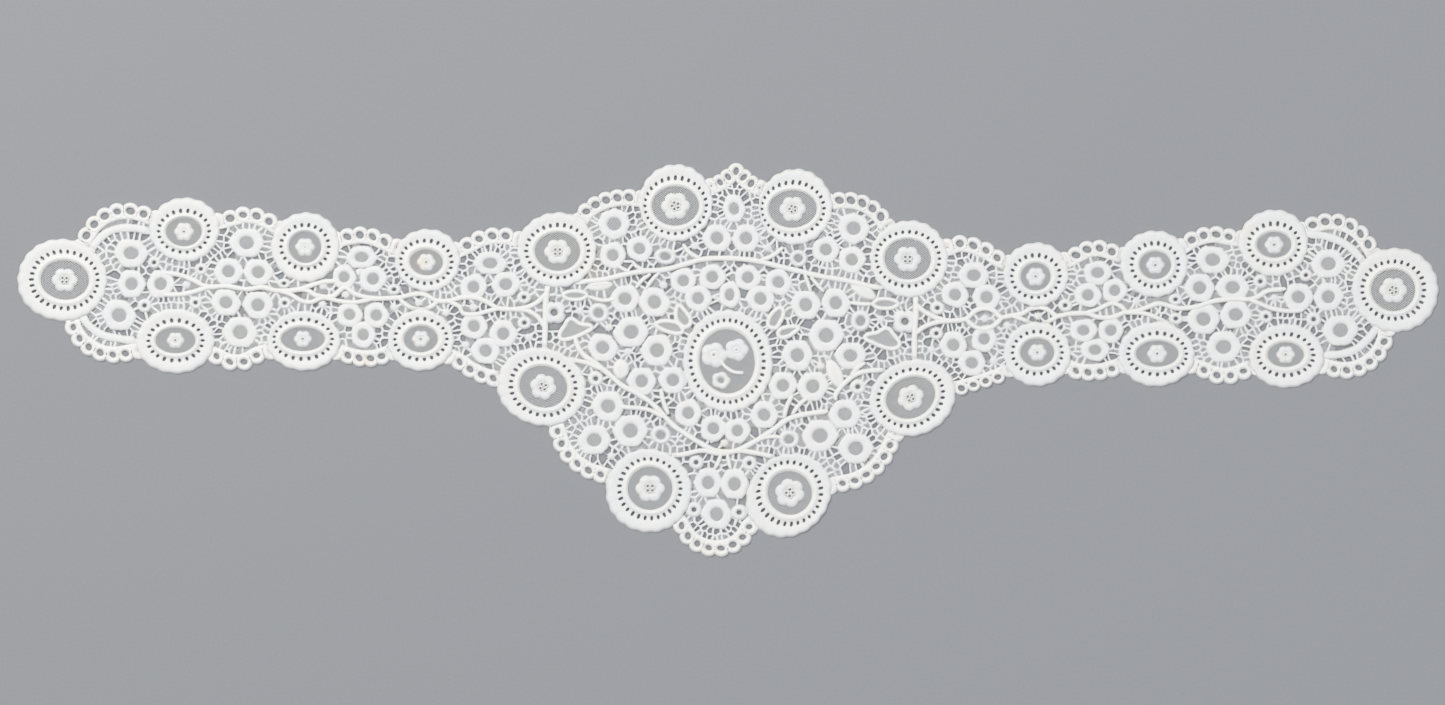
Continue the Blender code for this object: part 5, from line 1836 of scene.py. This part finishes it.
    def fill(self, seeds: Array, netted: dict[str, Skein]) -> None:
        """Fill most of the meshes with fine threads, in patches.

        Args:
            seeds: the middles of the meshes.
            netted: the skein of fine threads of each stretch.
        """
        rng = np.random.default_rng(SEED + 2)
        x, y = seeds.T
        patch = np.sin(x / 13 + 1.1 * np.sin(y / 17)) + np.sin(y / 11 + 1.3 * np.sin(x / 19 + 2))
        chance = patch * 0.3 + rng.random(len(x))
        filled = chance > np.where(self.clearing.at(x, y) > self.OPEN_ROOM, -0.1, self.OPEN_SHARE)
        filled[:len(GAPS)] = False
        tree = KDTree(len(seeds))
        for number, place in enumerate(seeds):
            tree.insert((*place, 0), number)
        tree.balance()
        for hatch, rise in ((self.net, NET_STEP), (self.cross_net, -NET_STEP)):
            cos, sin = turned(hatch.direction)
            corners = np.array([(a, b) for a, _ in self.NET_BOX for _, b in self.NET_BOX])
            offs, reach = corners @ (-sin, cos), corners @ (cos, sin)
            along = np.arange(reach.min(), reach.max(), self.NET_SAMPLE)
            for number in range(math.ceil(offs.min() / hatch.pitch), int(offs.max() / hatch.pitch)):
                off = number * hatch.pitch
                x, y = along * cos - off * sin, along * sin + off * cos
                clear = self.clearing.at(x, y) > -self.NET_UNDER
                for i in np.nonzero(clear)[0]:
                    _, nearest, gap = tree.find((x[i], y[i], 0))
                    clear[i] = filled[nearest] or (gap > self.BAR_NEAR and nearest >= len(GAPS))
                for first, last in runs(clear):
                    if last - first > 3:
                        ends = [first, last]
                        netted[stretch_at(x[first])].lay(
                            x[ends], y[ends], GROUND_LEVEL + rise,
                            hatch.radius * rng.uniform(0.8, 1.2), hatch.radius * CARD_STEP)


class Value:
    """A number that varies over a surface; arithmetic on it adds Math nodes."""

    def __init__(self, board: "Board", socket: bpy.types.NodeSocket) -> None:
        """Wrap a socket of a board."""
        self.board = board
        self.socket = socket

    def worked(self, operation: str, *numbers: "Value | float") -> "Value":
        """The result of a Math node on some numbers."""
        return self.board.number("ShaderNodeMath", {"operation": operation}, dict(enumerate(numbers)))

    def __add__(self, other: "Value | float") -> "Value":
        """This and the other."""
        return self.worked("ADD", self, other)

    def __mul__(self, other: "Value | float") -> "Value":
        """This times the other."""
        return self.worked("MULTIPLY", self, other)

    def __sub__(self, other: "Value | float") -> "Value":
        """This less the other."""
        return self.worked("SUBTRACT", self, other)

    def __rsub__(self, other: float) -> "Value":
        """The other less this."""
        return self.worked("SUBTRACT", other, self)

    __radd__ = __add__
    __rmul__ = __mul__

    def wave(self) -> "Value":
        """The sine of this."""
        return self.worked("SINE", self)

    def above_zero(self) -> "Value":
        """This, or 0 where it is less."""
        return self.worked("MAXIMUM", self, 0.0)


class Board:
    """The nodes of one material."""

    def __init__(self, name: str) -> None:
        """Start a material with its shader alone.

        Args:
            name: the material's name.
        """
        self.material = bpy.data.materials.new(name)
        self.material.use_nodes = True
        self.tree = self.material.node_tree
        self.shader = self.tree.nodes["Principled BSDF"]

    def node(self, kind: str, settings: dict[str, object], sockets: Sockets) -> bpy.types.Node:
        """A new node.

        Args:
            kind: its type.
            settings: its own settings.
            sockets: value or link of each input.

        Returns:
            The node.
        """
        made = self.tree.nodes.new(kind)
        for setting, value in settings.items():
            setattr(made, setting, value)
        self.feed(made, sockets)
        return made

    def feed(self, node: bpy.types.Node, sockets: Sockets) -> None:
        """Set or link some inputs of a node.

        Args:
            node: the node.
            sockets: value or link of each input.
        """
        for key, value in sockets.items():
            if isinstance(value, Value):
                self.tree.links.new(value.socket, node.inputs[key])
            elif isinstance(value, bpy.types.NodeSocket):
                self.tree.links.new(value, node.inputs[key])
            else:
                node.inputs[key].default_value = value

    def number(self, kind: str, settings: dict[str, object], sockets: Sockets,
               output: int | str = 0) -> Value:
        """One output of a new node, as a number."""
        return Value(self, self.node(kind, settings, sockets).outputs[output])

    def place(self) -> bpy.types.NodeSocket:
        """The place of each point of the object."""
        return self.node("ShaderNodeTexCoord", {}, {}).outputs["Object"]

    def noise(self, scale: float, detail: float) -> Value:
        """Noise on the object's own place, about 0.5, with so many waves to the metre."""
        sockets = {"Vector": self.place(), "Scale": scale, "Detail": detail}
        return self.number("ShaderNodeTexNoise", {}, sockets)

    def nearness(self, mark: "Mark") -> Value:
        """1 at a mark's middle, falling to 0 at its reach.

        Args:
            mark: the mark.

        Returns:
            The nearness to it.
        """
        away = self.number("ShaderNodeVectorMath", {"operation": "DISTANCE"},
                           {0: self.place(), 1: metres(mark.x, mark.y, MARK_LEVEL)}, 1)
        return (1 - away * (1 / (mark.reach * CARD_STEP))).above_zero()

    def mix(self, factor: Value, low: Sequence[float] | bpy.types.NodeSocket,
            high: Sequence[float] | bpy.types.NodeSocket) -> bpy.types.NodeSocket:
        """A colour between two by a factor."""
        return self.node("ShaderNodeMix", {"data_type": "RGBA", "clamp_factor": True},
                         {0: factor, 6: low, 7: high}).outputs[2]


@dataclass(frozen=True)
class Mark:
    """A faint cream mark on the thread."""

    x: float
    y: float
    reach: float


MARKS = [Mark(*row) for row in (
    (592, 270, 12), (419, 262, 12), (365, 361, 10), (1245, 225, 11), (771, 173, 10), (724, 446, 11),
    (709, 556, 14),
)]
MARK_LEVEL = 0.001
MARK_STRENGTH = 1.3
MARK_TINT = (0.92, 0.872, 0.80, 1)


@dataclass(frozen=True)
class ThreadFinish:
    """Bleached thread; colours are linear, pitch and depth are in metres."""

    name: str
    cool: Tone
    warm: Tone
    # shade: the darker colour painted into the grooves between threads as shade
    shade: Tone
    lay: Lay
    pitch: float
    depth: float
    roughness: float = 0.82

    def build(self) -> bpy.types.Material:
        """Build the finish.

        Returns:
            Its material.
        """
        board = Board(self.name)
        map_node = board.node("ShaderNodeUVMap", {"uv_map": "thread"}, {})
        split = board.node("ShaderNodeSeparateXYZ", {}, {0: map_node.outputs[0]})
        along, across = Value(board, split.outputs[0]), Value(board, split.outputs[1])
        turn = 2 * math.pi / self.pitch
        if self.lay is Lay.WOVEN:
            relief = (along * turn).wave() * (across * turn).wave()
        elif self.lay is Lay.OVERCAST:
            relief = (along * turn + across * (0.35 * turn)).wave()
        else:
            relief = (along * turn + across * turn).wave()
        height = relief * 0.5 + 0.5
        stain = board.noise(38.0, 3.0)
        fluff = board.noise(2600.0, 2.0)
        tint = board.mix(stain * 2.4 - 0.7, self.cool, self.warm)
        marked = sum(board.nearness(mark) for mark in MARKS)
        tint = board.mix(marked * MARK_STRENGTH, tint, MARK_TINT)
        # Painted shade: the base colour darkens towards the shade tone in the weave's grooves and in the
        # low spots of the fine fluff bump
        painted_groove_shade = (1 - height) * 0.4 + (1 - fluff) * 0.35
        board.feed(board.shader, {
            "Base Color": board.mix(painted_groove_shade, tint, self.shade),
            "Roughness": fluff * 0.2 + (self.roughness - 0.1),
            "Specular IOR Level": 0.25,
            "Sheen Weight": 0.15,
            "Sheen Roughness": 0.5,
            "Normal": board.node("ShaderNodeBump", {}, {
                "Strength": 0.7, "Distance": self.depth, "Height": height + fluff * 0.8}).outputs[0],
        })
        return board.material


# The third colour of each finish is the shade painted into the grooves between its threads
CLOTHWORK = ThreadFinish("clothwork", (0.866, 0.866, 0.869, 1), (0.902, 0.895, 0.884, 1),
                         (0.68, 0.684, 0.692, 1), Lay.WOVEN, 0.00070, 0.00010)
BORDER_CLOTH = ThreadFinish("border_cloth", (0.85, 0.86, 0.87, 1), (0.90, 0.89, 0.875, 1),
                            (0.66, 0.66, 0.665, 1), Lay.WOVEN, 0.00070, 0.00010)
CORDWORK = ThreadFinish("cordwork", (0.88, 0.885, 0.885, 1), (0.915, 0.905, 0.885, 1),
                        (0.70, 0.695, 0.68, 1), Lay.OVERCAST, 0.00040, 0.00003)
NETWORK = ThreadFinish("network", (0.84, 0.85, 0.865, 1), (0.885, 0.882, 0.875, 1), (0.68, 0.685, 0.70, 1),
                       Lay.TWISTED, 0.00060, 0.00004)


@dataclass(frozen=True)
class Stretch:
    """A stretch of ground; its reach and its cut are in squares and as a share of its box."""

    node: str
    low: float
    high: float
    cut_share: float


STRETCHES = (
    Stretch("ground_left", -1, 545, 0.488),
    Stretch("ground_centre", 545, 916, 0.524),
    Stretch("ground_right", 916, 1451, 0.480),
)


def stretch_at(x: float) -> str:
    """The node of the stretch of ground at a place across the card."""
    return next(row.node for row in STRETCHES if x < row.high)


@dataclass(frozen=True)
class Spray:
    """The spray worked on the net of the oval medallion in the middle."""

    rose: Oval = Oval(714.5, 355, 13.5, 13)
    blossom: Oval = Oval(737, 349.5, 12, 11.5)
    ring_flower: Oval = Oval(721, 380.5, 9.5, 9)
    stem: Stem = Stem(2.0, ((720, 359), (725, 366), (733, 371.5), (743, 372.5)))

    PETALS = 5
    STEM_RISE = 0.0005
    STEM_HEIGHT = 0.0009

    def forms(self) -> list[tuple[Form, Part]]:
        """Work the spray.

        Returns:
            Its forms, each with its part.
        """
        skein = Skein(1)
        x, y = smooth_line(self.stem.places, CORD_PITCH)
        skein.lay(x, y, NET_LEVEL + self.STEM_RISE, self.stem.half, self.STEM_HEIGHT)
        return [
            (rosette(self.rose, self.PETALS, 0.10), Part.CLOTH),
            (washer(self.rose.grown(0.36), 0.2), Part.CORD),
            (rosette(self.blossom, self.PETALS, 0.08), Part.CLOTH),
            (washer(self.blossom.grown(0.3), 0.15), Part.CORD),
            (rosette(self.ring_flower, self.PETALS, 0.32), Part.CLOTH),
            (skein.form(), Part.CORD),
        ]


class Lappet:
    """The whole lappet: border medallions, edging and the ground's three stretches."""

    # How near a medallion may reach a motif, in squares between their middles
    NEAR = 75

    def __init__(self) -> None:
        """Build the finishes."""
        cord, net = CORDWORK.build(), NETWORK.build()
        self.border = [BORDER_CLOTH.build(), cord, net]
        self.filling = [CLOTHWORK.build(), cord, net]
        self.edging_pieces: list[bpy.types.Object] = []

    def place(self, cloth: Cloth, node: str, slot: str) -> bpy.types.Object:
        """Finish a piece and put it in the frame in place of its solid.

        Args:
            cloth: the piece's forms.
            node: the solid that it stands for.
            slot: not used.

        Returns:
            The piece.
        """
        piece = cloth.piece()
        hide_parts(node)
        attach(piece, "root")
        return piece

    def medallion(self, row: Medallion, flower: list[tuple[Form, Part]]) -> None:
        """Make one medallion.

        Args:
            row: the medallion.
            flower: the forms on its net, each with its part.
        """
        cloth = Cloth(row.name + "_lace", self.border)
        form, slots = row.cloth()
        cloth.add_parts(form.smoothed(1), np.repeat(slots, form.counts))
        net = Skein()
        row.net(net)
        cloth.add(net.form(), Part.NET)
        for made, part in flower:
            cloth.add(made, part)
        piece = self.place(cloth, row.name, "medallion_thread")
        width, length = 2 * row.rx * CARD_STEP, 2 * row.ry * CARD_STEP
        math.pi / 4 * width * length

    def medallions(self) -> None:
        """Make every medallion."""
        for row in MEDALLIONS:
            self.medallion(row, row.flower_forms())
        self.medallion(CENTRE_MEDALLION, Spray().forms())

    def edging(self) -> None:
        """Make every run of edging."""
        for run, before, after in zip(EDGINGS, MEDALLIONS, [*MEDALLIONS[1:], MEDALLIONS[0]]):
            cloth = Cloth(run.name + "_lace", self.border)
            for form in [*run.cloth(before, after), run.foot(before, after)]:
                cloth.add(form, Part.CORD)
            self.edging_pieces.append(self.place(cloth, run.name, "edging_thread"))

    def clearing(self) -> Clearing:
        """Find the room between the motifs, inside the border.

        Returns:
            The room at each place of the card.
        """
        clearing = Clearing()
        outline = []
        for run, before in zip(EDGINGS, MEDALLIONS):
            outline += [(before.x, before.y), *run.holes()]
        clearing.keep_inside(outline)
        for motif in [*FLORETS, *RINGS, *LEAVES, *MEDALLIONS, CENTRE_MEDALLION]:
            clearing.keep_off(motif.away, max(motif.rx, motif.ry), (motif.x, motif.y))
        for motif in [*STEMS, *NETTED_LEAVES]:
            clearing.keep_off(motif.away, motif.half, *motif.places)
        for run in EDGINGS:
            clearing.keep_off(run.away, run.half, *run.holes())
        for knot in KNOTS:
            clearing.keep_off(knot.away, knot.size, (knot.x, knot.y))
        return clearing

    def ground(self) -> None:
        """Make the three stretches of ground."""
        names = [row.node for row in STRETCHES]
        bars, nets = {name: Skein(1) for name in names}, {name: Skein() for name in names}
        cords, bands = {name: Skein(2) for name in names}, {name: Skein(2) for name in names}
        cloths = {name: Cloth(name + "_lace", self.filling) for name in names}
        cuts = [row.edge() for row in [*MEDALLIONS, CENTRE_MEDALLION]]
        for motif in [*FLORETS, *RINGS, *LEAVES]:
            near = [oval for oval in cuts if math.dist((oval.x, oval.y), (motif.x, motif.y)) < self.NEAR]
            part = Part.CORD if motif in LEAVES else Part.CLOTH
            cloths[stretch_at(motif.x)].add(motif.cloth().tucked(near), part)
        for motif in [*FLORETS, *RINGS]:
            motif.net(nets[stretch_at(motif.x)])
        for leaf in NETTED_LEAVES:
            name = stretch_at(leaf.middle()[0])
            leaf.lay(cords[name])
            leaf.net(nets[name])
        for stem in STEMS:
            name = stretch_at(stem.middle())
            stem.lay(cords[name] if stem.part is Part.CORD else bands[name])
        for knot in KNOTS:
            knot.lay(bars[stretch_at(knot.x)])
            cloths[stretch_at(knot.x)].add(knot.cloth(), Part.CLOTH)
        ThreadGround(self.clearing()).work(bars, nets)
        for row in STRETCHES:
            cloth = cloths[row.node]
            for skein, part in ((cords[row.node], Part.CORD), (bands[row.node], Part.CLOTH)):
                form = skein.form()
                if form is not None:
                    cloth.add(form.tucked(cuts), part)
            cloth.add(bars[row.node].form(), Part.NET)
            cloth.add(nets[row.node].form(), Part.NET)
            piece = self.place(cloth, row.node, "ground_thread")
            low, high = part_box(row.node)
            sewn = [made for run, made in zip(EDGINGS, self.edging_pieces)
                    if row.low <= run.middle() < row.high]


@dataclass(frozen=True)
class Studio:
    """The pale floor, the soft lights and the camera straight above."""

    floor_size: float = 6.0
    floor_tone: Tone = (0.30, 0.31, 0.33, 1)
    floor_fleck: Tone = (0.34, 0.35, 0.37, 1)
    floor_drop: float = 0.00002
    frame_width: float = 1445 * CARD_STEP
    lens: float = 200.0
    sensor: float = 36.0
    photo_middle: Spot = (722.5, 352.5)

    def floor(self) -> None:
        """The floor under the lappet."""
        shape = bmesh.new()
        bmesh.ops.create_grid(shape, x_segments=4, y_segments=4, size=self.floor_size / 2)
        bmesh.ops.translate(shape, vec=(0, 0, -self.floor_drop), verts=shape.verts)
        mesh = bpy.data.meshes.new("floor")
        shape.to_mesh(mesh)
        shape.free()
        board = Board("floor_paper")
        board.feed(board.shader, {
            "Base Color": board.mix(board.noise(900.0, 3.0), self.floor_tone, self.floor_fleck),
            "Roughness": 0.9,
        })
        mesh.materials.append(board.material)
        made = bpy.data.objects.new("floor", mesh)
        bpy.context.collection.objects.link(made)

    def light(self, name: str, place: tuple[float, float, float], size: float, power: float,
              tint: tuple[float, float, float]) -> None:
        """One soft light that faces the lappet.

        Args:
            name: its name.
            place: where it stands, in metres.
            size: its width and height.
            power: its power in watts.
            tint: its colour.
        """
        lamp = bpy.data.lights.new(name, "AREA")
        lamp.size, lamp.energy, lamp.color = size, power, tint
        made = bpy.data.objects.new(name, lamp)
        made.location = place
        made.rotation_euler = (-Vector(place)).to_track_quat("-Z", "Y").to_euler()
        bpy.context.collection.objects.link(made)

    def lights(self) -> None:
        """A key from the upper left, a fill and an even sky."""
        self.light("key", (-0.8, 1.0, 1.6), 0.8, 27.0, (1.0, 0.98, 0.95))
        self.light("fill", (1.1, -0.7, 1.4), 1.2, 9.0, (0.96, 0.98, 1.0))
        world = bpy.data.worlds.new("sky")
        world.use_nodes = True
        sky = world.node_tree.nodes["Background"]
        sky.inputs["Color"].default_value = (0.965, 0.98, 1.0, 1)
        sky.inputs["Strength"].default_value = 0.45
        bpy.context.scene.world = world

    def camera(self) -> None:
        """The camera, straight above, that takes in the photograph's frame."""
        lens = bpy.data.cameras.new("camera")
        lens.lens, lens.sensor_width = self.lens, self.sensor
        made = bpy.data.objects.new("camera", lens)
        across = (self.photo_middle[0] - CARD_MIDDLE[0]) * CARD_STEP
        up = (CARD_MIDDLE[1] - self.photo_middle[1]) * CARD_STEP
        made.location = (across, up, self.frame_width * self.lens / self.sensor)
        bpy.context.collection.objects.link(made)
        bpy.context.scene.camera = made
        bpy.context.scene.view_settings.view_transform = "Standard"


def main() -> None:
    """Dress the lappet and light it."""
    logging.basicConfig(level=logging.INFO, format="%(name)s: %(message)s")
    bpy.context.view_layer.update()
    lappet = Lappet()
    lappet.medallions()
    lappet.edging()
    lappet.ground()
    studio = Studio()
    studio.floor()
    studio.lights()
    studio.camera()


if __name__ == "__main__":
    main()
